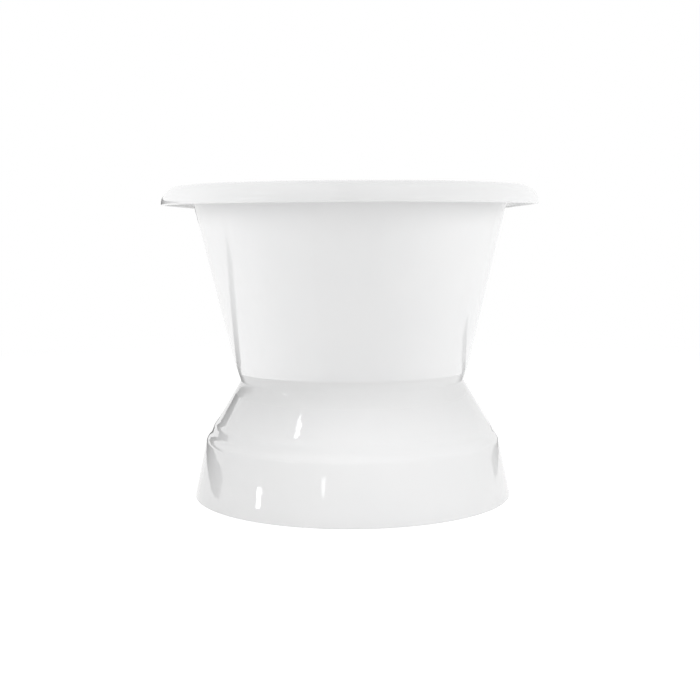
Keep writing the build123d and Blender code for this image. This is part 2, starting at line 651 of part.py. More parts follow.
with BuildPart() as stopper_cartridge:
    with BuildSketch(Plane.XY.offset(cross_foot)):
        Circle(CARTRIDGE_THREAD_RADIUS)
    extrude(amount=CROSS_BAR)
    with BuildSketch(Plane.XY.offset(cross_top)):
        Circle(CARTRIDGE_RADIUS)
    extrude(amount=CARTRIDGE_LENGTH)
    with BuildSketch(Plane.XY.offset(stem_foot - STEM_CLEARANCE)):
        Circle(stem_bore)
    extrude(amount=cartridge_top - stem_foot + STEM_CLEARANCE, mode=Mode.SUBTRACT)

with BuildPart() as stopper_stem:
    with BuildSketch(Plane.XY.offset(stem_foot)):
        Circle(STEM_RADIUS)
    extrude(amount=STEM_LENGTH)

with BuildPart() as stopper_cap:
    with BuildSketch(Plane.XZ) as cap_half:
        with BuildLine():
            under = Line((0, cap_foot), (CAP_RADIUS, cap_foot))
            side_wall = Line(under @ 1, (CAP_RADIUS, cap_foot + CAP_THICKNESS))
            crown_arc_radius = (CAP_RADIUS**2 + CAP_CROWN**2) / (2 * CAP_CROWN)
            crown_top = (0, cap_foot + CAP_THICKNESS + CAP_CROWN)
            crown = RadiusArc(side_wall @ 1, crown_top, -crown_arc_radius)
            Line(crown @ 1, under @ 0)
        make_face()
    revolve(axis=Axis.Z)
    with BuildSketch(Plane.XY.offset(cap_foot - CAP_BOSS_DEPTH)):
        Circle(CAP_BOSS_RADIUS)
    extrude(amount=CAP_BOSS_DEPTH)
    with BuildSketch(Plane.XY.offset(cap_foot - CAP_BOSS_DEPTH)):
        Circle(STEM_RADIUS + THREAD_CLEARANCE)
    extrude(amount=stem_top - cap_foot + CAP_BOSS_DEPTH + THREAD_CLEARANCE, mode=Mode.SUBTRACT)

with BuildPart() as stopper_seal:
    with BuildSketch(Plane.XY.offset(seal_foot)):
        Circle(SEAL_RADIUS)
        Circle(CAP_BOSS_RADIUS + THREAD_CLEARANCE, mode=Mode.SUBTRACT)
    extrude(amount=SEAL_THICKNESS)

pieces = {
    "tub_shell": tub_shell,
    "pedestal": pedestal,
    "joint_sealant": joint_sealant,
    "support_pads": support_pads,
    "base_studs": base_studs,
    "base_washers": base_washers,
    "base_nuts": base_nuts,
    "drain_bead": drain_bead,
    "drain_flange": drain_flange,
    "drain_gasket": drain_gasket,
    "waste_shoe": waste_shoe,
    "waste_tee": waste_tee,
    "shoe_pipe": shoe_pipe,
    "tailpiece": tailpiece,
    "overflow_pipe": overflow_pipe,
    "overflow_gasket": overflow_gasket,
    "overflow_head": overflow_head,
    "overflow_plate": overflow_plate,
    "overflow_screws": overflow_screws,
    "slip_nuts": slip_nuts,
    "slip_washers": slip_washers,
    "stopper_cartridge": stopper_cartridge,
    "stopper_stem": stopper_stem,
    "stopper_cap": stopper_cap,
    "stopper_seal": stopper_seal,
}

os.makedirs("parts", exist_ok=True)
for name, piece in pieces.items():
    piece.part.label = name
    export_step(piece.part, f"parts/{name}.step")
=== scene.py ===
"""Double ended bath on its plinth, dressed and lit for a pale studio.

The shapes are worked in millimetres, X along the bath, Y across it and Z up from the floor,
and each finished mesh is scaled to metres.
"""

import logging
import math
from dataclasses import dataclass, field
from enum import Enum
from typing import Callable, Iterable, Sequence

import bmesh
import bpy
from bmesh.types import BMEdge, BMesh, BMVert
from mathutils import Matrix, Vector


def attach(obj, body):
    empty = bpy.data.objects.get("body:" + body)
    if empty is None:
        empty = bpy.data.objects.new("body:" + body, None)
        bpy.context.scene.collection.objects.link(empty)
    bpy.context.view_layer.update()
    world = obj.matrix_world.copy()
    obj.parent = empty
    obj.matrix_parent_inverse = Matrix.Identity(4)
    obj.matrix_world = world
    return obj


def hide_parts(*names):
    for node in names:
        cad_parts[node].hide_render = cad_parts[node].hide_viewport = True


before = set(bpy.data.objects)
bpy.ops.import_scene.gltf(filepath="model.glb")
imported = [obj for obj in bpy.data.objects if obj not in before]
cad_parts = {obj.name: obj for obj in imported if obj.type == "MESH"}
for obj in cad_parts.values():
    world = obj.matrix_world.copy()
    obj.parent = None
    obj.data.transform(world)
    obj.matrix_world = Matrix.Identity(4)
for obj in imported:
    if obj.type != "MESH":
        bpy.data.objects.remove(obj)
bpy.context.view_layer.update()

MM = 0.001
TINY = 1e-4
CLOSE = 0.01
SHARP = math.radians(38)
Point = tuple[float, float]
Colour = tuple[float, float, float]

log = logging.getLogger("bath")


class Slot(Enum):
    """The record's material slots."""

    BATH = "bath_enamel"
    PLINTH = "plinth_enamel"
    SEALANT = "sealant"
    RUBBER = "pad_rubber"
    PUTTY = "putty"
    ZINC = "zinc_steel"
    CHROME = "chrome"
    BRASS = "brass"


class Body(Enum):
    """The bodies that the pieces ride on."""

    BATH = "bath"
    STOPPER = "stopper"


class BrassSurface(Enum):
    """How a brass piece was made, which sets its grain."""

    DRAWN = "drawn"
    CAST = "cast"
    TURNED = "turned"


# Finishes


class Shader:
    """A material while it is being wired up around its Principled shader."""

    def __init__(self, name: str) -> None:
        """Start an empty material.

        Args:
            name: The material's name.
        """
        self.material = bpy.data.materials.new(name)
        self.material.use_nodes = True
        self.tree = self.material.node_tree
        self.surface = self.tree.nodes["Principled BSDF"]

    def node(self, kind: str, **settings: object) -> bpy.types.Node:
        """Add a node and set its properties.

        Args:
            kind: The node's type name.
            **settings: Properties of the node.

        Returns:
            The new node.
        """
        made = self.tree.nodes.new(kind)
        for key, value in settings.items():
            setattr(made, key, value)
        return made

    def wire(self, source: bpy.types.NodeSocket, target: bpy.types.NodeSocket) -> None:
        """Link an output to an input."""
        self.tree.links.new(source, target)

    def plain(self, **values: float | Colour) -> None:
        """Set sockets of the Principled shader; underscores in a name stand for spaces."""
        for key, value in values.items():
            socket = self.surface.inputs[key.replace("_", " ")]
            socket.default_value = (*value, 1.0) if isinstance(value, tuple) else value

    def noise(self, size: float, detail: float = 2.0, stretch: Colour = (1, 1, 1)) -> bpy.types.NodeSocket:
        """Add noise on the object's own coordinates.

        Args:
            size: Width of the noise's features, in metres.
            detail: Octaves of finer noise.
            stretch: Scale along X, Y and Z; a small number draws the noise out.

        Returns:
            The noise's factor socket.
        """
        place = self.node("ShaderNodeTexCoord")
        mapping = self.node("ShaderNodeMapping")
        mapping.inputs["Scale"].default_value = stretch
        noise = self.node("ShaderNodeTexNoise")
        noise.inputs["Scale"].default_value = 1.0 / size
        noise.inputs["Detail"].default_value = detail
        self.wire(place.outputs["Object"], mapping.inputs["Vector"])
        self.wire(mapping.outputs["Vector"], noise.inputs["Vector"])
        return noise.outputs["Fac"]

    def spread(self, source: bpy.types.NodeSocket, low: float, high: float) -> bpy.types.NodeSocket:
        """Map a factor onto a range of values.

        Args:
            source: Socket with a factor around one half.
            low: Value at the factor's low end.
            high: Value at the factor's high end.

        Returns:
            The mapped value's socket.
        """
        span = self.node("ShaderNodeMapRange")
        span.inputs["From Min"].default_value = 0.3
        span.inputs["From Max"].default_value = 0.7
        span.inputs["To Min"].default_value = low
        span.inputs["To Max"].default_value = high
        self.wire(source, span.inputs["Value"])
        return span.outputs["Result"]

    def blend(self, source: bpy.types.NodeSocket, low: Colour, high: Colour) -> bpy.types.NodeSocket:
        """Run a factor through a ramp between two colours.

        Args:
            source: Socket with a factor around one half.
            low: Colour at the factor's low end.
            high: Colour at the factor's high end.

        Returns:
            The colour's socket.
        """
        ramp = self.node("ShaderNodeValToRGB")
        ramp.color_ramp.elements[0].position = 0.3
        ramp.color_ramp.elements[0].color = (*low, 1.0)
        ramp.color_ramp.elements[1].position = 0.7
        ramp.color_ramp.elements[1].color = (*high, 1.0)
        self.wire(source, ramp.inputs["Fac"])
        return ramp.outputs["Color"]

    def relief(self, height: bpy.types.NodeSocket, strength: float, depth: float) -> None:
        """Give the surface a bump.

        Args:
            height: Socket with the height.
            strength: Share of the bump that shows, from 0 to 1.
            depth: Height of the bump in metres.
        """
        bump = self.node("ShaderNodeBump")
        bump.inputs["Strength"].default_value = strength
        bump.inputs["Distance"].default_value = depth
        self.wire(height, bump.inputs["Height"])
        self.wire(bump.outputs["Normal"], self.surface.inputs["Normal"])

    def input(self, name: str) -> bpy.types.NodeSocket:
        """Find a socket of the Principled shader."""
        return self.surface.inputs[name]


@dataclass(frozen=True)
class Enamel:
    """White glass fused or sprayed on the casting, a little uneven like all such coats."""

    name: str
    slot: Slot
    colour: Colour = (0.82, 0.82, 0.82)
    thin_colour: Colour = (0.80, 0.802, 0.805)
    roughness: float = 0.1
    ripple_size: float = 0.075
    ripple_depth: float = 0.0006
    ripple: float = 0.25

    def material(self) -> bpy.types.Material:
        """Wire the enamel's material."""
        shader = Shader(self.name)
        shader.plain(IOR=1.52, Coat_Weight=0.35, Coat_Roughness=0.03, Coat_IOR=1.5)
        cloud = shader.noise(0.22, 3.0)
        shader.wire(shader.blend(cloud, self.thin_colour, self.colour), shader.input("Base Color"))
        shader.wire(
            shader.spread(shader.noise(0.12), self.roughness * 0.7, self.roughness * 1.5),
            shader.input("Roughness"),
        )
        shader.relief(shader.noise(self.ripple_size, 1.5), self.ripple, self.ripple_depth)
        return shader.material


@dataclass(frozen=True)
class Chrome:
    """Bright plating with faint smears and wipe marks."""

    name: str = "bright_chrome"
    slot: Slot = Slot.CHROME
    colour: Colour = (0.80, 0.81, 0.82)
    smeared: Colour = (0.71, 0.72, 0.735)

    def material(self) -> bpy.types.Material:
        """Wire the plating's material."""
        shader = Shader(self.name)
        shader.plain(Metallic=1.0, IOR=1.5)
        smear = shader.noise(0.012, 4.0)
        shader.wire(shader.blend(smear, self.smeared, self.colour), shader.input("Base Color"))
        shader.wire(shader.spread(shader.noise(0.006, 5.0), 0.04, 0.13), shader.input("Roughness"))
        shader.relief(shader.noise(0.0012, 2.0), 0.06, 0.0001)
        return shader.material


@dataclass(frozen=True)
class Brass:
    """Raw brass, dulled where it has been handled."""

    name: str
    surface: BrassSurface
    slot: Slot = Slot.BRASS
    bright: Colour = (0.63, 0.43, 0.17)
    tarnish: Colour = (0.36, 0.235, 0.10)

    def material(self) -> bpy.types.Material:
        """Wire the brass's material, with the grain of its making."""
        shader = Shader(self.name)
        shader.plain(Metallic=1.0, IOR=1.5)
        stretch = (1.0, 1.0, 1.0)
        size, strength, depth = 0.0025, 0.45, 0.0005
        if self.surface is BrassSurface.DRAWN:
            stretch, size, strength, depth = (1.0, 1.0, 0.05), 0.0016, 0.2, 0.0002
        if self.surface is BrassSurface.TURNED:
            stretch, size, strength, depth = (0.1, 0.1, 1.0), 0.001, 0.25, 0.0002
        patch = shader.noise(0.035, 5.0)
        shader.wire(shader.blend(patch, self.tarnish, self.bright), shader.input("Base Color"))
        shader.wire(shader.spread(shader.noise(0.02, 3.0), 0.26, 0.48), shader.input("Roughness"))
        shader.relief(shader.noise(size, 3.0, stretch), strength, depth)
        return shader.material


@dataclass(frozen=True)
class Zinc:
    """Zinc plate with its crystal spangle."""

    name: str = "zinc_plate"
    slot: Slot = Slot.ZINC
    light: Colour = (0.60, 0.61, 0.62)
    dark: Colour = (0.42, 0.43, 0.45)

    def material(self) -> bpy.types.Material:
        """Wire the plate's material."""
        shader = Shader(self.name)
        shader.plain(Metallic=1.0, IOR=1.5)
        place = shader.node("ShaderNodeTexCoord")
        crystals = shader.node("ShaderNodeTexVoronoi")
        crystals.inputs["Scale"].default_value = 350.0
        shader.wire(place.outputs["Object"], crystals.inputs["Vector"])
        tone = shader.node("ShaderNodeSeparateColor")
        shader.wire(crystals.outputs["Color"], tone.inputs["Color"])
        shader.wire(shader.blend(tone.outputs["Red"], self.dark, self.light), shader.input("Base Color"))
        shader.wire(shader.spread(shader.noise(0.008, 3.0), 0.28, 0.5), shader.input("Roughness"))
        shader.relief(shader.noise(0.0008, 2.0), 0.2, 0.0001)
        return shader.material


@dataclass(frozen=True)
class Compound:
    """A dull moulded or squeezed-out material: rubber, putty or sealant."""

    name: str
    slot: Slot
    colour: Colour
    worn: Colour
    roughness: float
    grain: float
    grain_depth: float

    def material(self) -> bpy.types.Material:
        """Wire the compound's material."""
        shader = Shader(self.name)
        shader.plain(IOR=1.45)
        shader.wire(
            shader.blend(shader.noise(0.02, 5.0), self.worn, self.colour), shader.input("Base Color")
        )
        shader.wire(
            shader.spread(shader.noise(0.01, 3.0), self.roughness * 0.85, self.roughness * 1.15),
            shader.input("Roughness"),
        )
        shader.relief(shader.noise(self.grain, 3.0), 0.35, self.grain_depth)
        return shader.material


class Finishes:
    """Every finish on the bath, made once and shared by its pieces."""

    def __init__(self) -> None:
        """Make the materials."""
        recipes = {
            "bath": Enamel("bath_porcelain", Slot.BATH),
            "plinth": Enamel(
                "plinth_porcelain", Slot.PLINTH, roughness=0.045, ripple_size=0.03, ripple=0.5
            ),
            "chrome": Chrome(),
            "drawn": Brass("drawn_brass", BrassSurface.DRAWN),
            "cast": Brass("cast_brass", BrassSurface.CAST),
            "turned": Brass("turned_brass", BrassSurface.TURNED),
            "zinc": Zinc(),
            "rubber": Compound(
                "black_rubber", Slot.RUBBER, (0.035, 0.035, 0.036), (0.06, 0.06, 0.058), 0.62, 0.0009, 0.0002
            ),
            "putty": Compound(
                "set_putty", Slot.PUTTY, (0.56, 0.54, 0.47), (0.47, 0.45, 0.39), 0.7, 0.0016, 0.0003
            ),
            "sealant": Compound(
                "white_sealant", Slot.SEALANT, (0.82, 0.82, 0.82), (0.812, 0.814, 0.814), 0.12, 0.03, 0.0001
            ),
        }
        self.slots = {key: recipe.slot for key, recipe in recipes.items()}
        self.materials = {key: recipe.material() for key, recipe in recipes.items()}

    def dress(self, piece: bpy.types.Object, finish: str) -> None:
        """Give a new piece its finish.

        Args:
            piece: The piece to dress.
            finish: Name of the finish.
        """
        piece.data.materials.clear()
        piece.data.materials.append(self.materials[finish])

    def dress_node(self, node: str, finish: str) -> None:
        """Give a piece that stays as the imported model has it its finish.

        Args:
            node: Name of the node.
            finish: Name of the finish.
        """
        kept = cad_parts[node]
        if not kept.material_slots:
            kept.data.materials.append(self.materials[finish])
        for material_slot in kept.material_slots:
            material_slot.material = self.materials[finish]


# Mesh making


@dataclass(frozen=True)
class Outline:
    """Two half circles joined by straight flanks, at one height."""

    height: float
    side: float
    end: float

    @property
    def straight(self) -> float:
        """Half the length of a flank."""
        return self.end - self.side


class RingSkin:
    """A skin grown ring by ring, each ring extruded from the one before."""

    def __init__(self, arc_steps: int = 72, flank_steps: int = 14) -> None:
        """Start an empty skin.

        Args:
            arc_steps: Edges round each half circle.
            flank_steps: Edges along each flank.
        """
        self.bm = bmesh.new()
        self.arc_steps = arc_steps
        self.flank_steps = flank_steps

    def start(self, outline: Outline) -> list[BMEdge]:
        """Spin and extrude the first ring from a single point.

        Args:
            outline: The ring's outline.

        Returns:
            The ring's edges.
        """
        tip = self.bm.verts.new((outline.straight, -outline.side, outline.height))
        first = tip
        for way in (1, -1):
            turned = bmesh.ops.spin(
                self.bm, geom=[tip], cent=(way * outline.straight, 0, outline.height),
                axis=(0, 0, 1), angle=math.pi, steps=self.arc_steps,
            )
            tip = next(item for item in turned["geom_last"] if isinstance(item, BMVert))
            stride = -way * 2 * outline.straight / self.flank_steps
            for _ in range(self.flank_steps):
                tip = bmesh.ops.extrude_vert_indiv(self.bm, verts=[tip])["verts"][0]
                bmesh.ops.translate(self.bm, verts=[tip], vec=(stride, 0, 0))
        bmesh.ops.weld_verts(self.bm, targetmap={tip: first})
        return list(self.bm.edges)

    def grow(self, ring: Sequence[BMEdge], old: Outline, new: Outline) -> list[BMEdge]:
        """Extrude a ring and reshape the new one.

        Args:
            ring: Edges of the ring to extrude.
            old: The ring's outline.
            new: The new ring's outline.

        Returns:
            The new ring's edges.
        """
        grown = bmesh.ops.extrude_edge_only(self.bm, edges=list(ring))["geom"]
        verts = {item for item in grown if isinstance(item, BMVert)}
        scale = new.side / old.side
        rise = new.height - old.height
        flank = set(verts)
        for way in (1, -1):
            half = [vert for vert in flank if way * vert.co.x > old.straight - TINY]
            flank -= set(half)
            bmesh.ops.scale(
                self.bm, vec=(scale, scale, 1), verts=half,
                space=Matrix.Translation((-way * old.straight, 0, 0)),
            )
            bmesh.ops.translate(self.bm, vec=(way * (new.straight - old.straight), 0, rise), verts=half)
        if flank:
            middle = list(flank)
            bmesh.ops.scale(self.bm, vec=(new.straight / old.straight, scale, 1), verts=middle)
            bmesh.ops.translate(self.bm, vec=(0, 0, rise), verts=middle)
        return [
            edge for edge in {edge for vert in verts for edge in vert.link_edges}
            if edge.verts[0] in verts and edge.verts[1] in verts
        ]

    def run(self, outlines: Sequence[Outline], ring: Sequence[BMEdge] | None = None) -> list[BMEdge]:
        """Grow through a list of outlines.

        Args:
            outlines: The outlines, from the first ring on.
            ring: Edges that already lie on the first outline, if any.

        Returns:
            The last ring's edges.
        """
        edges = list(ring) if ring else self.start(outlines[0])
        for old, new in zip(outlines, outlines[1:]):
            edges = self.grow(edges, old, new)
        return edges

    def loop_at(self, outline: Outline) -> list[BMEdge]:
        """Find the edges that lie along an outline."""

        def on_outline(vert: BMVert) -> bool:
            past = max(abs(vert.co.x) - outline.straight, 0.0)
            return abs(vert.co.z - outline.height) < 0.01 and abs(math.hypot(past, vert.co.y) - outline.side) < 0.01

        return [edge for edge in self.bm.edges if all(on_outline(vert) for vert in edge.verts)]

    def round_over(self, outline: Outline, offset: float, segments: int = 5) -> None:
        """Bevel the edge that runs along an outline.

        Args:
            outline: Where the edge runs.
            offset: Distance from the edge to the rounding's ends.
            segments: Faces across the rounding.
        """
        bmesh.ops.bevel(
            self.bm, geom=self.loop_at(outline), offset=offset, offset_type="OFFSET",
            segments=segments, profile=0.5, affect="EDGES", material=-1, clamp_overlap=True,
        )


def turned(
    corners: Sequence[Point], rounding: dict[int, float] | None = None, steps: int = 56,
    segments: int = 5,
) -> BMesh:
    """Spin a half profile round the vertical axis.

    Args:
        corners: Radius and height of each corner, from the first to the last.
        rounding: Offset of the rounding at a corner, by its place in the list.
        steps: Faces round the piece.
        segments: Faces across each rounding.

    Returns:
        The spun mesh.
    """
    bm = bmesh.new()
    chain = [bm.verts.new((radius, 0, height)) for radius, height in corners]
    for start, end in zip(chain, chain[1:]):
        bm.edges.new((start, end))
    for place, offset in (rounding or {}).items():
        bmesh.ops.bevel(
            bm, geom=[chain[place]], offset=offset, offset_type="OFFSET", segments=segments,
            profile=0.5, affect="VERTICES", material=-1,
        )
    bmesh.ops.spin(
        bm, geom=list(bm.verts) + list(bm.edges), cent=(0, 0, 0), axis=(0, 0, 1),
        angle=math.tau, steps=steps, use_merge=True,
    )
    bmesh.ops.remove_doubles(bm, verts=bm.verts, dist=TINY)
    return bm


def boxed(low: Sequence[float], high: Sequence[float], rounding: float = 0.0, segments: int = 3) -> BMesh:
    """Make a block between two corners, with rounded edges.

    Args:
        low: Lowest corner.
        high: Highest corner.
        rounding: Offset of the rounding of its edges.
        segments: Faces across each rounding.

    Returns:
        The block.
    """
    bm = bmesh.new()
    bmesh.ops.create_cube(bm, size=1.0)
    bmesh.ops.scale(bm, vec=[b - a for a, b in zip(low, high)], verts=bm.verts)
    bmesh.ops.translate(bm, vec=[(a + b) / 2 for a, b in zip(low, high)], verts=bm.verts)
    if rounding:
        bmesh.ops.bevel(
            bm, geom=list(bm.edges), offset=rounding, offset_type="OFFSET", segments=segments,
            profile=0.5, affect="EDGES", material=-1,
        )
    return bm


def place(bm: BMesh, matrix: Matrix) -> BMesh:
    """Move a mesh by a matrix and return it."""
    bmesh.ops.transform(bm, matrix=matrix, verts=bm.verts)
    return bm


def joined(parts: Iterable[BMesh]) -> BMesh:
    """Put several meshes into one.

    Args:
        parts: The meshes, which are used up.

    Returns:
        The mesh that holds them all.
    """
    whole = bmesh.new()
    for part in parts:
        bmesh.ops.recalc_face_normals(part, faces=part.faces)
        carrier = bpy.data.meshes.new("carrier")
        part.to_mesh(carrier)
        part.free()
        whole.from_mesh(carrier)
        bpy.data.meshes.remove(carrier)
    return whole


def finished(bm: BMesh, name: str, merge: float = TINY, turn: bool = True) -> bpy.types.Object:
    """Close a mesh, scale it to metres and make it an object.

    Args:
        bm: The mesh in millimetres, which is used up.
        name: The object's name.
        merge: Distance under which vertices are merged.
        turn: Whether the normals are made to point outward.

    Returns:
        The object, at the origin.
    """
    if merge:
        bmesh.ops.remove_doubles(bm, verts=bm.verts, dist=merge)
        bmesh.ops.dissolve_degenerate(bm, edges=bm.edges, dist=merge)
    if turn:
        bmesh.ops.recalc_face_normals(bm, faces=bm.faces)
    bmesh.ops.scale(bm, vec=(MM, MM, MM), verts=bm.verts)
    for face in bm.faces:
        face.smooth = True
    for edge in bm.edges:
        edge.smooth = len(edge.link_faces) == 2 and edge.calc_face_angle(0.0) < SHARP
    mesh = bpy.data.meshes.new(name)
    bm.to_mesh(mesh)
    bm.free()
    made = bpy.data.objects.new(name, mesh)
    bpy.context.scene.collection.objects.link(made)
    return made


def cut(target: bpy.types.Object, cutter: BMesh) -> None:
    """Take a shape out of a piece.

    Args:
        target: The piece, in metres.
        cutter: The shape in millimetres, which is used up.
    """
    tool = finished(cutter, "cutter")
    modifier = target.modifiers.new("cut", "BOOLEAN")
    modifier.operation = "DIFFERENCE"
    modifier.solver = "EXACT"
    modifier.object = tool
    depsgraph = bpy.context.evaluated_depsgraph_get()
    result = bpy.data.meshes.new_from_object(target.evaluated_get(depsgraph))
    target.modifiers.clear()
    old = target.data
    target.data = result
    result.name = target.name
    bpy.data.meshes.remove(old)
    bpy.data.objects.remove(tool)
    smooth_by_angle(target)


def smooth_by_angle(piece: bpy.types.Object) -> None:
    """Shade a piece smooth, with its sharp edges kept sharp."""
    bm = bmesh.new()
    bm.from_mesh(piece.data)
    for face in bm.faces:
        face.smooth = True
    for edge in bm.edges:
        edge.smooth = len(edge.link_faces) == 2 and edge.calc_face_angle(0.0) < SHARP
    bm.to_mesh(piece.data)
    bm.free()


def steps(count: int) -> list[float]:
    """Even shares from just above 0 to 1."""
    return [step / count for step in range(1, count + 1)]


# Sub-assemblies


@dataclass
class Wall:
    """One wall of the bath in profile, from its lip down to the floor."""

    at_lip: float
    lean: float
    lip_height: float = 616.0
    belly_height: float = 299.0
    belly_radius: float = 350.0
    waist_height: float = 240.0
    floor_height: float = 190.0

    def reach(self, height: float, inset: float = 0.0) -> float:
        """Find the wall's distance from the middle.

        Args:
            height: Height above the floor of the room.
            inset: Distance inside the outer face.

        Returns:
            The distance, in millimetres.
        """
        turn = math.radians(self.lean)
        belly_turn = math.asin(
            math.sin(turn) + (self.belly_height - self.waist_height) / self.belly_radius
        )
        floor_radius = (self.waist_height - self.floor_height) / (1 - math.sin(belly_turn))
        belly_top = self.at_lip - (self.lip_height - self.belly_height) * math.tan(turn)
        if height >= self.belly_height + inset * math.sin(turn):
            return belly_top + (height - self.belly_height) * math.tan(turn) - inset / math.cos(turn)
        belly_middle = belly_top - self.belly_radius * math.cos(turn)
        if height >= self.waist_height + inset * math.sin(belly_turn):
            drop = self.belly_height + self.belly_radius * math.sin(turn) - height
            return belly_middle + math.sqrt((self.belly_radius - inset) ** 2 - drop**2)
        waist = belly_middle + self.belly_radius * math.cos(belly_turn)
        drop = self.floor_height + floor_radius - height
        spread = max((floor_radius - inset) ** 2 - drop**2, 0.0)
        return waist - floor_radius * math.cos(belly_turn) + math.sqrt(spread)


@dataclass
class OverflowSeat:
    """Where the overflow sits on the leaning side wall."""

    height: float
    reach: float
    lean: float

    def matrix(self, outward: float = 0.0) -> Matrix:
        """Turn local Z to point out of the wall and local Y up it.

        Args:
            outward: Distance from the wall's outer face.

        Returns:
            The matrix from the seat to the room.
        """
        turn = math.radians(self.lean)
        out = Vector((0, -math.cos(turn), -math.sin(turn)))
        up = Vector((0, -math.sin(turn), math.cos(turn)))
        across = up.cross(out)
        frame_matrix = Matrix((across, up, out)).transposed().to_4x4()
        origin = Vector((0, -self.reach, self.height)) + out * outward
        return Matrix.Translation(origin) @ frame_matrix

    def point(self, along: float, outward: float) -> Vector:
        """Find a point up the wall and out from it."""
        return self.matrix(outward) @ Vector((0, along, 0))


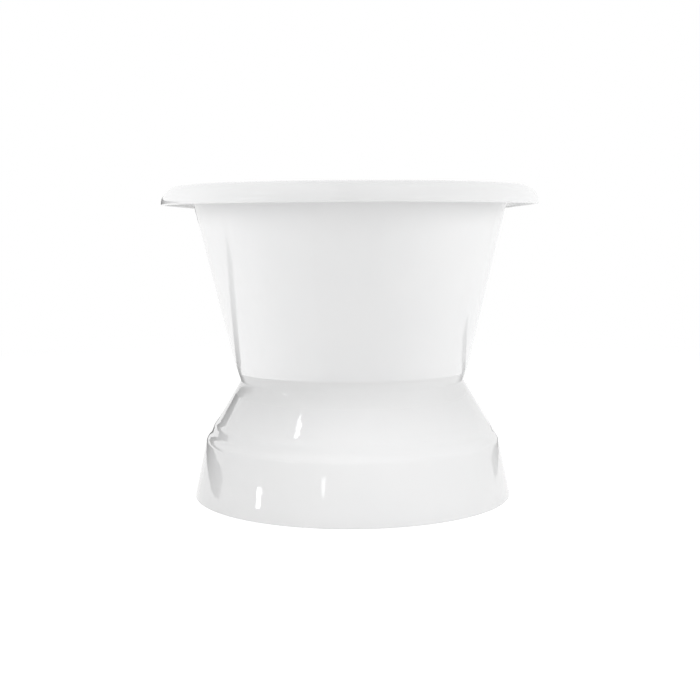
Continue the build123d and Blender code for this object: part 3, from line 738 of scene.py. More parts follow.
@dataclass
class BathShell:
    """The cast bath: rolled rim, walls, belly and floor, in one skin."""

    rim_length: float = 1676.0
    rim_width: float = 762.0
    rim_height: float = 655.0
    roll_reach: float = 38.0
    roll_drop: float = 36.0
    lip_edge: float = 3.0
    crest_width: float = 10.0
    casting: float = 7.0
    drain_radius: float = 26.0
    overflow_radius: float = 30.0
    boss_radius: float = 20.0
    boss_depth: float = 16.0
    support_x: float = 260.0
    support_y: float = 100.0
    side_wall: Wall = field(default_factory=lambda: Wall(316.0, 11.4))
    end_wall: Wall = field(default_factory=lambda: Wall(773.0, 26.2))

    @property
    def rim_straight(self) -> float:
        """Half the length of the rim's flanks."""
        return (self.rim_length - self.rim_width) / 2

    def wall_outline(self, height: float, inset: float = 0.0) -> Outline:
        """Find the outline of the walls at a height."""
        return Outline(height, self.side_wall.reach(height, inset), self.end_wall.reach(height, inset))

    def rim_outline(self, side: float, height: float) -> Outline:
        """Find an outline that runs parallel to the rim."""
        return Outline(height, side, side + self.rim_straight)

    def inner_levels(self) -> list[Outline]:
        """List the outlines from the rim's crest down to the drain hole."""
        start = self.rim_height - self.roll_drop
        crest = self.rim_width / 2 - self.roll_reach - self.crest_width
        foot = self.wall_outline(start, self.casting)
        levels = [self.rim_outline(crest, self.rim_height)]
        for share in steps(14):
            rise = self.roll_drop
            sizes = []
            for wall_foot, wall, straight in (
                (foot.side, self.side_wall, 0.0), (foot.end, self.end_wall, self.rim_straight)
            ):
                corner = wall_foot + rise * math.tan(math.radians(wall.lean))
                sizes.append(
                    share**2 * wall_foot + 2 * share * (1 - share) * corner
                    + (1 - share) ** 2 * (crest + straight)
                )
            levels.append(Outline(self.rim_height - rise * share**2, *sizes))
        belly = self.side_wall.belly_height + 4
        waist = self.side_wall.waist_height
        floor_top = self.side_wall.floor_height + self.casting
        heights = [start + (belly - start) * share for share in steps(12)]
        heights += [belly + (waist - belly) * share for share in steps(8)]
        heights += [waist + (floor_top - waist) * (1 - (1 - share) ** 2) for share in steps(22)]
        levels += [self.wall_outline(height, self.casting) for height in heights]
        return levels + self.floor_levels(levels[-1])

    def floor_levels(self, edge: Outline) -> list[Outline]:
        """List the flat outlines from a floor's edge in to the drain hole."""
        hole = self.drain_radius
        levels = []
        for share in steps(5):
            side = edge.side + (hole + 30 - edge.side) * share
            levels.append(Outline(edge.height, side, edge.end + (hole + 60 - edge.end) * share))
        return levels + [Outline(edge.height, hole + 12, hole + 14), Outline(edge.height, hole, hole)]

    def outer_levels(self) -> list[Outline]:
        """List the outlines from the rim's crest round the lip and down to the drain hole."""
        rim = self.rim_width / 2
        centre = rim - self.roll_reach
        low = self.rim_height - self.roll_drop
        levels = [
            self.rim_outline(centre - self.crest_width, self.rim_height),
            self.rim_outline(centre, self.rim_height),
        ]
        for share in steps(20):
            turn = share * math.pi / 2
            levels.append(
                self.rim_outline(
                    centre + self.roll_reach * math.sin(turn),
                    low + self.roll_drop * math.cos(turn),
                )
            )
        edge = self.lip_edge
        for share in steps(5):
            turn = share * math.pi / 2
            levels.append(self.rim_outline(rim - edge + edge * math.cos(turn), low - edge * math.sin(turn)))
        hollow = rim - self.casting
        levels += [self.rim_outline(hollow + 1.2, low - edge), self.rim_outline(hollow, low - edge + 1.2)]
        hollow_drop = self.roll_drop - self.casting
        for share in steps(10):
            turn = share * math.pi / 2
            levels.append(
                self.rim_outline(
                    centre + (hollow - centre) * math.cos(turn), low + hollow_drop * math.sin(turn)
                )
            )
        lip = self.side_wall.lip_height
        climb = hollow_drop / 2
        elbow = self.side_wall.at_lip + climb * math.tan(math.radians(self.end_wall.lean))
        middle = (centre + elbow) / 2 - 2, (low + hollow_drop + lip + climb) / 2 + 2
        levels.append(self.rim_outline(*middle))
        levels.append(self.rim_outline(elbow, lip + climb))
        levels.append(self.rim_outline(elbow - 5, lip + climb / 2 - 2))
        belly, waist = self.side_wall.belly_height, self.side_wall.waist_height
        floor = self.side_wall.floor_height
        heights = [lip] + [lip + (belly - lip) * share for share in steps(12)]
        heights += [belly + (waist - belly) * share for share in steps(10)]
        heights += [waist + (floor - waist) * (1 - (1 - share) ** 2) for share in steps(20)]
        levels += [self.wall_outline(height) for height in heights]
        return levels + self.floor_levels(levels[-1])

    def build(self, seat: OverflowSeat) -> bpy.types.Object:
        """Build the casting with its bosses and holes.

        Args:
            seat: Where the overflow sits.

        Returns:
            The casting.
        """
        skin = RingSkin()
        inner, outer = self.inner_levels(), self.outer_levels()
        crest = skin.start(inner[0])
        skin.run(inner, crest)
        last = skin.run(outer, crest)
        skin.grow(last, outer[-1], inner[-1])
        parts = [skin.bm]
        floor = self.side_wall.floor_height
        foot = floor - self.boss_depth
        for x in (-self.support_x, self.support_x):
            for y in (-self.support_y, self.support_y):
                boss = turned(
                    [(0, foot), (self.boss_radius, foot), (self.boss_radius, floor), (self.boss_radius + 5, floor + 3), (0, floor + 3)],
                    {1: 1.5, 2: 4.0}, steps=40,
                )
                parts.append(place(boss, Matrix.Translation((x, y, 0))))
        bath = finished(parts[0], "bath_casting")
        bosses = finished(joined(parts[1:]), "bath_bosses")
        hole = turned([(0, -40), (self.overflow_radius, -40), (self.overflow_radius, 40), (0, 40)], steps=64)
        cut(bath, place(hole, seat.matrix()))
        return merge_objects(bath, bosses)


def merge_objects(target: bpy.types.Object, extra: bpy.types.Object) -> bpy.types.Object:
    """Move one object's mesh into another's.

    Args:
        target: The object that stays.
        extra: The object that is used up.

    Returns:
        The target.
    """
    bm = bmesh.new()
    bm.from_mesh(target.data)
    bm.from_mesh(extra.data)
    bm.to_mesh(target.data)
    bm.free()
    bpy.data.objects.remove(extra)
    return target


@dataclass
class Plinth:
    """The moulded plinth: shoulder, band and flared skirt, hollow inside, with two ribs."""

    edge: float
    straight: float
    top: float = 240.0
    land: float = 6.0
    shoulder_out: float = 48.5
    shoulder_foot: float = 160.0
    step_out: float = 6.0
    step_drop: float = 7.0
    band_out: float = 7.0
    band_foot: float = 135.0
    skirt_top: float = 122.0
    skirt_top_out: float = 78.0
    skirt_foot_out: float = 104.0
    wall: float = 8.0
    rib_x: float = 260.0
    rib_y: float = 100.0
    rib_top: float = 169.0
    rib_depth: float = 32.0
    rib_thickness: float = 14.0
    rib_boss: float = 22.0

    def ring(self, side: float, height: float) -> Outline:
        """Find an outline parallel to the plinth's edge."""
        return Outline(height, side, side + self.straight)

    def outside(self) -> list[Point]:
        """List the corners of the outer profile, from the land down to the foot."""
        land = self.edge + self.land
        shoulder = land + self.shoulder_out
        band_top = shoulder + self.step_out
        band_foot = band_top + self.band_out
        return [
            (land, self.top),
            (shoulder, self.shoulder_foot),
            (band_top, self.shoulder_foot - self.step_drop),
            (band_foot, self.band_foot),
            (band_foot + self.step_out, self.band_foot - self.step_drop),
            (self.edge + self.skirt_top_out, self.skirt_top),
            (self.edge + self.skirt_foot_out, 0.0),
        ]

    def build(self, passage: BMesh) -> bpy.types.Object:
        """Build the plinth.

        Args:
            passage: The room that the overflow pipe needs through the shoulder.

        Returns:
            The plinth.
        """
        outside = self.outside()
        shoulder, foot = outside[1][0], outside[-1][0]
        inside = [
            (foot - self.wall, 0.0),
            (outside[5][0] - self.wall, self.skirt_top),
            (outside[3][0] - self.wall, self.band_foot),
            (shoulder - self.wall, self.shoulder_foot),
            (self.edge, self.top - self.land),
            (self.edge, self.top),
        ]
        corners: list[Point] = []
        chain = outside + inside
        for start, end in zip(chain, chain[1:]):
            count = max(1, round(math.dist(start, end) / 30))
            corners += [
                (start[0] + (end[0] - start[0]) * step / count, start[1] + (end[1] - start[1]) * step / count)
                for step in range(count)
            ]
        corners.append(chain[-1])
        skin = RingSkin()
        rings = [self.ring(*corner) for corner in corners]
        last = skin.run(rings)
        skin.grow(last, rings[-1], rings[0])
        bmesh.ops.remove_doubles(skin.bm, verts=skin.bm.verts, dist=CLOSE)
        offsets = {0: 0.8, 1: 4.5, 2: 4.5, 3: 4.5, 4: 3.0, 5: 4.2, 6: 1.8}
        for number, offset in offsets.items():
            skin.round_over(self.ring(*outside[number]), offset)
        plinth = finished(skin.bm, "plinth_casting")
        cut(plinth, passage)
        return merge_objects(plinth, self.ribs(shoulder - self.wall))

    def ribs(self, room: float) -> bpy.types.Object:
        """Build the two ribs with their bosses.

        Args:
            room: Half the room between the shoulders.

        Returns:
            The ribs, ending inside the plinth's wall.
        """
        parts = []
        low = self.rib_top - self.rib_depth
        for x in (-self.rib_x, self.rib_x):
            half = self.rib_thickness / 2
            web = boxed((x - half, -room - 1, low), (x + half, room + 1, self.rib_top), 2.0)
            bottom = [vert for vert in web.verts if vert.co.z < low + self.rib_depth / 2]
            bmesh.ops.scale(web, vec=(1, (room + 15) / (room + 1), 1), verts=bottom)
            parts.append(web)
            for y in (-self.rib_y, self.rib_y):
                boss = turned(
                    [(0, low), (self.rib_boss, low), (self.rib_boss, self.rib_top), (0, self.rib_top)],
                    {1: 1.5, 2: 1.5}, steps=40,
                )
                parts.append(place(boss, Matrix.Translation((x, y, 0))))
        return finished(joined(parts), "plinth_ribs")


@dataclass
class SeamCove:
    """The bead that closes the seam, drawn out into a cove at the two ends."""

    bath: BathShell
    plinth: Plinth
    rise: float = 8.0
    end_radius: float = 60.0

    def build(self, passage: BMesh) -> bpy.types.Object:
        """Build the bead.

        Args:
            passage: The room that the overflow pipe needs.

        Returns:
            The bead.
        """
        top = self.plinth.top
        shoulder_run = self.plinth.shoulder_out / (top - self.plinth.shoulder_foot)
        shoulder_turn = math.atan(shoulder_run)
        shoulder_end = self.plinth.edge + self.plinth.land + self.plinth.straight + shoulder_run * top
        high = top + self.end_radius / 2
        for _ in range(6):
            wall_end = self.bath.end_wall.reach(high)
            wall_slope = (self.bath.end_wall.reach(high + 2) - self.bath.end_wall.reach(high - 2)) / 4
            wall_turn = math.atan(wall_slope)
            half_turn = (wall_turn + shoulder_turn) / 2
            tangent = self.end_radius * math.tan(half_turn)
            level = (shoulder_end - wall_end + wall_slope * high) / (wall_slope + shoulder_run)
            corner = shoulder_end - shoulder_run * level, level
            high = level + tangent * math.cos(wall_turn)
        lift = (shoulder_turn - wall_turn) / 2
        reach = self.end_radius / math.cos(half_turn)
        centre = corner[0] + reach * math.cos(lift), corner[1] + reach * math.sin(lift)
        low = corner[1] - tangent * math.cos(shoulder_turn)
        outlines = []
        count = 26
        for step in range(count + 1):
            height = high + (low - high) * step / count
            curve = centre[0] - math.sqrt(self.end_radius**2 - (height - centre[1]) ** 2) - 0.15
            if height >= top:
                under = self.bath.wall_outline(height)
                bead = (self.plinth.land + 0.8) * max(0.0, 1 - (height - top) / self.rise)
            else:
                side = self.plinth.edge + self.plinth.land + (top - height) * shoulder_run
                under = self.plinth.ring(side, height)
                bead = 0.0
            side = under.side - 0.4 + bead
            outlines.append(Outline(height, side, max(curve, under.end - 0.4, side + 1)))
        back = [
            Outline(low, outlines[-1].side - 3, outlines[-1].end - 3),
            Outline(top, self.plinth.edge + 0.4, self.plinth.edge + self.plinth.straight + 0.4),
            Outline(high, outlines[0].side - 1, outlines[0].end - 1),
        ]
        skin = RingSkin()
        last = skin.run(outlines + back)
        skin.grow(last, back[-1], outlines[0])
        bead_piece = finished(skin.bm, "seam_bead", merge=CLOSE)
        cut(bead_piece, passage)
        return bead_piece


@dataclass
class OverflowPipe:
    """The overflow pipe's line: down beside the leaning wall, then upright into the tee."""

    seat: OverflowSeat
    radius: float = 17.45
    wall: float = 1.5
    standoff: float = 27.0
    arm: float = 50.0
    insert: float = 18.0
    bend_height: float = 200.0
    bend_radius: float = 110.0
    foot_height: float = 120.0

    @property
    def top(self) -> Vector:
        """The pipe's upper end."""
        return self.seat.point(self.insert - self.arm, self.standoff)

    @property
    def drop_y(self) -> float:
        """Where the upright stretch stands."""
        return self.top.y + (self.top.z - self.bend_height) * math.tan(math.radians(self.seat.lean))

    def tube(self, radius: float, bore: float = 0.0, steps_round: int = 40) -> BMesh:
        """Extrude and spin a circle along the pipe's line.

        Args:
            radius: The tube's outer radius.
            bore: Radius of its bore, or 0 for a solid rod.
            steps_round: Faces round the tube.

        Returns:
            The tube.
        """
        turn = math.radians(self.seat.lean)
        start = self.top
        bend = Vector((0, self.drop_y, self.bend_height))
        tangent = self.bend_radius * math.tan(turn / 2)
        run = (bend - start).normalized()
        bm = bmesh.new()
        for size in filter(None, (radius, bore)):
            circle = bmesh.ops.create_circle(bm, segments=steps_round, radius=size)["verts"]
            tilt = Vector((0, 0, 1)).rotation_difference(run).to_matrix().to_4x4()
            bmesh.ops.transform(bm, matrix=Matrix.Translation(start) @ tilt, verts=circle)
            ring = list({edge for vert in circle for edge in vert.link_edges})
            ring = self.push(bm, ring, bend - run * tangent - start, 6)
            pivot = Vector((0, self.drop_y + self.bend_radius, self.bend_height - tangent))
            spun = bmesh.ops.spin(
                bm, geom=ring, cent=pivot, axis=(1, 0, 0), angle=turn, steps=8,
            )
            ring = [item for item in spun["geom_last"] if isinstance(item, BMEdge)]
            self.push(bm, ring, Vector((0, 0, self.foot_height - self.bend_height + tangent)), 3)
        ends = [edge for edge in bm.edges if edge.is_boundary]
        if bore:
            for at_top in (True, False):
                rims = [edge for edge in ends if (edge.verts[0].co.z > self.bend_height) is at_top]
                bmesh.ops.bridge_loops(bm, edges=rims)
        else:
            bmesh.ops.holes_fill(bm, edges=ends, sides=0)
        return bm

    def push(self, bm: BMesh, ring: Sequence[BMEdge], way: Vector, count: int) -> list[BMEdge]:
        """Extrude a ring of edges in even stretches.

        Args:
            bm: The mesh.
            ring: The ring's edges.
            way: The whole way to push it.
            count: How many stretches.

        Returns:
            The last ring's edges.
        """
        edges = list(ring)
        for _ in range(count):
            grown = bmesh.ops.extrude_edge_only(bm, edges=edges)["geom"]
            verts = {item for item in grown if isinstance(item, BMVert)}
            bmesh.ops.translate(bm, vec=way / count, verts=list(verts))
            edges = [
                edge for edge in {edge for vert in verts for edge in vert.link_edges}
                if edge.verts[0] in verts and edge.verts[1] in verts
            ]
        return edges


def aimed(start: Vector, way: Vector) -> Matrix:
    """Turn local Z to point along a direction from a point."""
    turn = Vector((0, 0, 1)).rotation_difference(way.normalized()).to_matrix().to_4x4()
    return Matrix.Translation(start) @ turn


@dataclass
class WasteSet:
    """Brass waste under the bath: shoe, tee, pipes, slip nuts and their washers."""

    overflow: OverflowPipe
    waste_height: float = 100.0
    shoe_arm: float = 58.0
    tee_arm: float = 38.0
    arm_radius: float = 22.5
    pipe_radius: float = 19.05
    pipe_wall: float = 1.5
    insert: float = 18.0
    tail_height: float = 12.0
    tail_thread: float = 20.2
    nut_radius: float = 26.0
    nut_grip: float = 10.0
    nut_length: float = 17.5
    shoe_top: float = 186.0
    shoe_flange: float = 33.0
    shoe_radius: float = 27.5
    shoe_base: float = 75.95

    @property
    def tee(self) -> Vector:
        """The tee's centre."""
        return Vector((0, self.overflow.drop_y, self.waste_height))

    def fitting(self, length: float) -> BMesh:
        """Make one arm of a fitting, with the raised band at its mouth."""
        radius, mouth = self.arm_radius, length - self.nut_grip
        return turned(
            [
                (0, 0), (radius, 0), (radius, mouth - 4), (radius, length),
                (self.pipe_radius, length), (self.pipe_radius, length - 12), (0, length - 12),
            ],
            {3: 0.6}, steps=48, segments=2,
        )

    def nut(self) -> BMesh:
        """Make a slip nut with eight flats, chamfered at both ends, with a round collar."""
        bm = bmesh.new()
        bmesh.ops.create_circle(bm, cap_ends=True, segments=8, radius=self.nut_radius)
        body = bmesh.ops.extrude_face_region(bm, geom=list(bm.faces))["geom"]
        verts = [item for item in body if isinstance(item, BMVert)]
        bmesh.ops.translate(bm, vec=(0, 0, self.nut_length - 3), verts=verts)
        bmesh.ops.bevel(
            bm, geom=list(bm.edges), offset=0.9, offset_type="OFFSET", segments=2, profile=0.5,
            affect="EDGES", material=-1,
        )
        collar = turned(
            [(0, 0), (self.nut_radius - 3.2, 0), (self.nut_radius - 3.2, self.nut_length), (0, self.nut_length)],
            {2: 1.2}, steps=48, segments=3,
        )
        return joined([bm, collar])

    def mouths(self) -> list[tuple[Vector, Vector]]:
        """List each slip joint's mouth and the way its pipe leaves the fitting."""
        seat = self.overflow.seat
        head = seat.point(-self.overflow.arm, self.overflow.standoff)
        down_wall = seat.point(-self.overflow.arm - 1, self.overflow.standoff) - head
        up, along = Vector((0, 0, self.tee_arm)), Vector((0, self.tee_arm, 0))
        return [
            (head, down_wall),
            (self.tee + up, up),
            (self.tee + along, along),
            (Vector((0, -self.shoe_arm, self.waste_height)), -along),
        ]

    def build_nuts(self) -> bpy.types.Object:
        """Build the slip nuts."""
        nuts = []
        for mouth, way in self.mouths():
            nuts.append(place(self.nut(), aimed(mouth - way.normalized() * self.nut_grip, way)))
        return finished(joined(nuts), "waste_slip_nuts", turn=False)

    def build_tee(self) -> bpy.types.Object:
        """Build the tee as three arms round a rounded middle."""
        arms = []
        for way in (Vector((0, 0, 1)), Vector((0, 1, 0)), Vector((0, 0, -1))):
            arms.append(place(self.fitting(self.tee_arm), aimed(self.tee, way)))
        return finished(joined(arms), "waste_tee_casting", merge=0.0, turn=False)

    def build_shoe(self) -> bpy.types.Object:
        """Build the shoe under the drain, with its level arm."""
        top, base = self.shoe_top, self.shoe_base
        barrel = turned(
            [
                (0, base), (self.shoe_radius, base), (self.shoe_radius, top - 12), (self.shoe_flange, top - 5),
                (self.shoe_flange, top), (0, top),
            ],
            {1: 7.0, 2: 2.0, 3: 1.5, 4: 0.8}, steps=56,
        )
        arm = place(self.fitting(self.shoe_arm), aimed(Vector((0, 0, self.waste_height)), Vector((0, -1, 0))))
        return finished(joined([barrel, arm]), "waste_shoe_casting", turn=False)

    def build_pipe(self) -> bpy.types.Object:
        """Build the overflow pipe."""
        bm = self.overflow.tube(self.overflow.radius, self.overflow.radius - self.overflow.wall)
        return finished(bm, "overflow_tube")

    def build_tail(self) -> bpy.types.Object:
        """Build the tailpiece, the open outlet above the room's floor, with its threaded end."""
        bore, thread = self.pipe_radius - self.pipe_wall, self.tail_thread
        low, mouth = self.tail_height, self.waste_height - self.tee_arm
        high = mouth + self.insert
        bm = turned(
            [
                (bore, low), (self.pipe_radius, low), (self.pipe_radius, mouth), (thread, mouth),
                (thread, high), (bore, high), (bore, low),
            ],
            {1: 0.3, 4: 1.0}, steps=48, segments=2,
        )
        return finished(place(bm, Matrix.Translation((0, self.tee.y, 0))), "waste_tail")


@dataclass
class OverflowHead:
    """The overflow's brass elbow outside the wall and its chromed plate inside."""

    seat: OverflowSeat
    casting: float = 7.0
    gasket: float = 3.0
    flange_radius: float = 38.0
    flange: float = 5.0
    body_radius: float = 24.0
    length: float = 51.0
    arm: float = 50.0
    arm_radius: float = 22.5
    standoff: float = 27.0
    plate_radius: float = 39.0
    plate: float = 3.0
    hole_radius: float = 4.0
    hole_circle: float = 13.0
    holes: int = 6
    screw_offset: float = 27.0
    screw_head: float = 4.5
    screw_rise: float = 2.5

    def build_elbow(self) -> bpy.types.Object:
        """Build the flanged elbow."""
        foot = self.gasket
        body = turned(
            [
                (0, foot), (self.flange_radius, foot), (self.flange_radius, foot + self.flange),
                (self.body_radius + 2, foot + self.flange), (self.body_radius, foot + self.flange + 3),
                (self.body_radius, self.length), (0, self.length),
            ],
            {1: 0.6, 2: 1.2, 5: 8.0}, steps=56, segments=6,
        )
        parts = [place(body, self.seat.matrix())]
        mouth = self.seat.point(-self.arm, self.standoff)
        elbow = self.seat.point(0, self.standoff)
        arm = turned(
            [(0, 0), (self.arm_radius, 0), (self.arm_radius, self.arm), (0, self.arm)], {2: 0.6}, steps=48
        )
        parts.append(place(arm, aimed(elbow, mouth - elbow)))
        for way in (-1, 1):
            lug = turned([(0, foot + self.flange - 1), (5.2, foot + self.flange - 1), (5.2, foot + self.flange + 0.8), (0, foot + self.flange + 0.8)], {2: 0.5}, steps=24)
            place(lug, Matrix.Translation((way * self.screw_offset, 0, 0)))
            parts.append(place(lug, self.seat.matrix()))
        return finished(joined(parts), "overflow_elbow", turn=False)

    def build_plate(self) -> bpy.types.Object:
        """Build the face plate: a shallow dish with a raised edge and a ring of holes."""
        radius, face = self.plate_radius, self.casting + self.plate
        dish = turned(
            [
                (0, -self.casting), (radius, -self.casting), (radius, -face + 0.2), (radius - 3, -face),
                (radius - 5.5, -face + 0.9), (20, -face + 0.9), (0, -face + 0.3),
            ],
            {1: 0.4, 2: 1.2, 3: 1.2, 4: 0.8, 5: 6.0}, steps=96,
        )
        plate = finished(place(dish, self.seat.matrix()), "overflow_face_plate")
        holes = []
        for number in range(self.holes):
            turn = Matrix.Rotation(math.tau * number / self.holes, 4, "Z")
            hole = turned(
                [(0, -face - 3), (self.hole_radius, -face - 3), (self.hole_radius, 0), (0, 0)], steps=32
            )
            place(hole, turn @ Matrix.Translation((self.hole_circle, 0, 0)))
            holes.append(place(hole, self.seat.matrix()))
        cut(plate, joined(holes))
        return plate

    def build_screws(self) -> bpy.types.Object:
        """Build the two slotted screws."""
        face = self.casting + self.plate
        screws = []
        for way in (-1, 1):
            head = turned(
                [
                    (0, self.flange + self.gasket), (2.5, self.flange + self.gasket), (2.5, -face + 0.9),
                    (self.screw_head, -face + 0.9), (self.screw_head, -face - self.screw_rise),
                    (0, -face - self.screw_rise),
                ],
                {4: 1.8}, steps=32,
            )
            place(head, Matrix.Translation((way * self.screw_offset, 0, 0)))
            screws.append(place(head, self.seat.matrix()))
        made = finished(joined(screws), "overflow_plate_screws", turn=False)
        slots = []
        for way in (-1, 1):
            slot = boxed((-6, -0.55, -face - 4), (6, 0.55, -face - self.screw_rise + 1.1))
            turn = Matrix.Translation((way * self.screw_offset, 0, 0)) @ Matrix.Rotation(0.35 * way, 4, "Z")
            slots.append(place(place(slot, turn), self.seat.matrix()))
        cut(made, joined(slots))
        return made


@dataclass
class DrainFlange:
    """The chromed drain: wide rim, threaded body and the cross that carries the stopper."""

    foot: float = 198.5
    radius: float = 36.0
    thickness: float = 3.0
    body_radius: float = 22.5
    bore: float = 19.0
    length: float = 38.0
    bar: float = 4.0
    bar_rise: float = 6.0
    boss_radius: float = 8.0

    def build(self) -> bpy.types.Object:
        """Build the flange, its body and its cross."""
        top, low = self.foot + self.thickness, self.foot - self.length
        rim = turned(
            [
                (self.bore, low), (self.body_radius, low), (self.body_radius, self.foot),
                (self.radius, self.foot), (self.radius, top), (self.bore + 4, top),
                (self.bore + 1.6, top - 1.2), (self.bore, top - 3), (self.bore, low),
            ],
            {1: 1.0, 4: 1.6, 5: 0.8}, steps=96,
        )
        parts = [rim]
        cross = low + self.bar_rise
        for turn in (0.0, math.pi / 2):
            bar = boxed(
                (-self.bore - 0.5, -self.bar / 2, cross), (self.bore + 0.5, self.bar / 2, cross + self.bar), 0.6
            )
            parts.append(place(bar, Matrix.Rotation(turn, 4, "Z")))
        parts.append(
            turned(
                [(0, cross), (self.boss_radius, cross), (self.boss_radius, cross + self.bar), (0, cross + self.bar)],
                {1: 0.6, 2: 0.6}, steps=40,
            )
        )
        return finished(joined(parts), "drain_strainer_body", turn=False)


@dataclass
class Stopper:
    """The push stopper: domed cap on its stem, over a rubber seal."""

    seal_foot: float = 201.8
    seal_radius: float = 25.0
    seal_thickness: float = 2.5
    cap_radius: float = 28.0
    cap: float = 3.0
    crown: float = 2.0
    boss_radius: float = 6.5
    boss_depth: float = 7.0

    @property
    def cap_foot(self) -> float:
        """Height of the cap's underside."""
        return self.seal_foot + self.seal_thickness

    def build_cap(self) -> bpy.types.Object:
        """Build the cap, with a soft edge and a slightly raised middle."""
        foot, top = self.cap_foot, self.cap_foot + self.cap
        bm = turned(
            [
                (0, foot - self.boss_depth), (self.boss_radius, foot - self.boss_depth), (self.boss_radius, foot),
                (self.cap_radius, foot), (self.cap_radius, top - 0.4), (self.cap_radius - 7, top + self.crown * 0.55),
                (9, top + self.crown * 0.98), (0, top + self.crown),
            ],
            {1: 0.8, 3: 0.5, 4: 1.6, 5: 5.0, 6: 4.0}, steps=96, segments=7,
        )
        return finished(bm, "stopper_cap_dome")

    def build_seal(self) -> bpy.types.Object:
        """Build the seal, with its thin wiping lip."""
        foot, radius = self.seal_foot, self.seal_radius
        bm = turned(
            [
                (self.boss_radius, foot), (radius - 3, foot), (radius, foot + 0.6),
                (radius, foot + self.seal_thickness), (self.boss_radius, foot + self.seal_thickness),
                (self.boss_radius, foot),
            ],
            {1: 0.5, 2: 0.4, 3: 0.3}, steps=72,
        )
        return finished(bm, "stopper_seal_ring")


@dataclass
class HoldDowns:
    """The four studs with their nuts, washers and rubber pads."""

    x: float = 260.0
    y: float = 100.0
    stud_radius: float = 6.0
    stud_foot: float = 116.5
    stud_top: float = 188.0
    nut_foot: float = 124.5
    nut: float = 10.0
    flats: float = 18.0
    washer_radius: float = 14.0
    washer: float = 2.5
    pad_foot: float = 169.0
    pad: float = 5.0
    pad_radius: float = 20.0

    def everywhere(self, maker: Callable[[], BMesh], name: str) -> bpy.types.Object:
        """Repeat a mesh at the four supports.

        Args:
            maker: Makes the mesh at the origin.
            name: The object's name.

        Returns:
            The four as one object.
        """
        spots = [(x, y) for x in (-self.x, self.x) for y in (-self.y, self.y)]
        meshes = [place(maker(), Matrix.Translation((*spot, 0))) for spot in spots]
        return finished(joined(meshes), name, turn=False)

    def stud(self) -> BMesh:
        """Make one stud, with thread crests on its lower stretch."""
        corners: list[Point] = [(0, self.stud_foot), (self.stud_radius - 1.2, self.stud_foot)]
        height = self.stud_foot + 1.2
        while height < self.pad_foot - 2:
            corners += [(self.stud_radius, height), (self.stud_radius - 0.7, height + 0.85)]
            height += 1.7
        corners += [(self.stud_radius, height), (self.stud_radius, self.stud_top), (0, self.stud_top)]
        return turned(corners, steps=28)

    def hexagon(self) -> BMesh:
        """Make one nut with rounded corners and a washer face."""
        bm = bmesh.new()
        radius = self.flats / math.sqrt(3)
        bmesh.ops.create_circle(bm, cap_ends=True, segments=6, radius=radius)
        grown = bmesh.ops.extrude_face_region(bm, geom=list(bm.faces))["geom"]
        lifted = [item for item in grown if isinstance(item, BMVert)]
        bmesh.ops.translate(bm, vec=(0, 0, self.nut), verts=lifted)
        bmesh.ops.bevel(
            bm, geom=list(bm.edges), offset=0.7, offset_type="OFFSET", segments=3, profile=0.5,
            affect="EDGES", material=-1,
        )
        return place(bm, Matrix.Translation((0, 0, self.nut_foot)))

    def ring(self, inner: float, outer: float, low: float, high: float) -> BMesh:
        """Make a flat ring with broken edges."""
        return turned(
            [(inner, low), (outer, low), (outer, high), (inner, high), (inner, low)],
            {1: 0.5, 2: 0.5}, steps=48, segments=3,
        )

    def build(self) -> dict[str, bpy.types.Object]:
        """Build the fixings and return them by the node that each stands for."""
        washer_low = self.nut_foot + self.nut
        return {
            "base_studs": self.everywhere(self.stud, "hold_down_studs"),
            "base_nuts": self.everywhere(self.hexagon, "hold_down_nuts"),
            "base_washers": self.everywhere(
                lambda: self.ring(self.stud_radius, self.washer_radius, washer_low, washer_low + self.washer),
                "hold_down_washers",
            ),
            "support_pads": self.everywhere(
                lambda: self.ring(self.stud_radius, self.pad_radius, self.pad_foot, self.pad_foot + self.pad),
                "hold_down_pads",
            ),
        }


# The studio


def seen_plainly(tree: bpy.types.NodeTree) -> bpy.types.NodeSocket:
    """Tell the rays that show the background, direct or in gloss and glass, from the rest.

    Args:
        tree: The node tree that needs to know.

    Returns:
        A socket that is 1 for those rays and 0 for the others.
    """
    rays = tree.nodes.new("ShaderNodeLightPath")
    either = tree.nodes.new("ShaderNodeMath")
    either.operation = "MAXIMUM"
    tree.links.new(rays.outputs["Is Camera Ray"], either.inputs[0])
    tree.links.new(rays.outputs["Is Glossy Ray"], either.inputs[1])
    every = tree.nodes.new("ShaderNodeMath")
    every.operation = "MAXIMUM"
    tree.links.new(either.outputs["Value"], every.inputs[0])
    tree.links.new(rays.outputs["Is Transmission Ray"], every.inputs[1])
    return every.outputs["Value"]


TUB = ("bath_casting",)
FOOT = ("plinth_casting", "seam_bead", "floor")


@dataclass(frozen=True)
class Lamp:
    """A soft box of the studio, in metres and watts."""

    name: str
    stand: tuple[float, float, float]
    aim: tuple[float, float, float]
    size: Point
    watts: float
    mirrored: bool = False
    lights: tuple[str, ...] = ()

    def hang(self) -> None:
        """Hang the lamp; it lights everything, or only the pieces that it names."""
        data = bpy.data.lights.new(self.name, "AREA")
        data.shape = "RECTANGLE"
        data.size, data.size_y = self.size
        data.energy = self.watts
        lamp = bpy.data.objects.new(self.name, data)
        lamp.visible_glossy = self.mirrored
        lamp.visible_camera = False
        bpy.context.scene.collection.objects.link(lamp)
        stand, aim = Vector(self.stand), Vector(self.aim)
        turn = (aim - stand).to_track_quat("-Z", "Y").to_matrix().to_4x4()
        lamp.matrix_world = Matrix.Translation(stand) @ turn
        if self.lights:
            lit = bpy.data.collections.new(f"{self.name}_lights")
            for name in self.lights:
                lit.objects.link(bpy.data.objects[name])
            lamp.light_linking.receiver_collection = lit


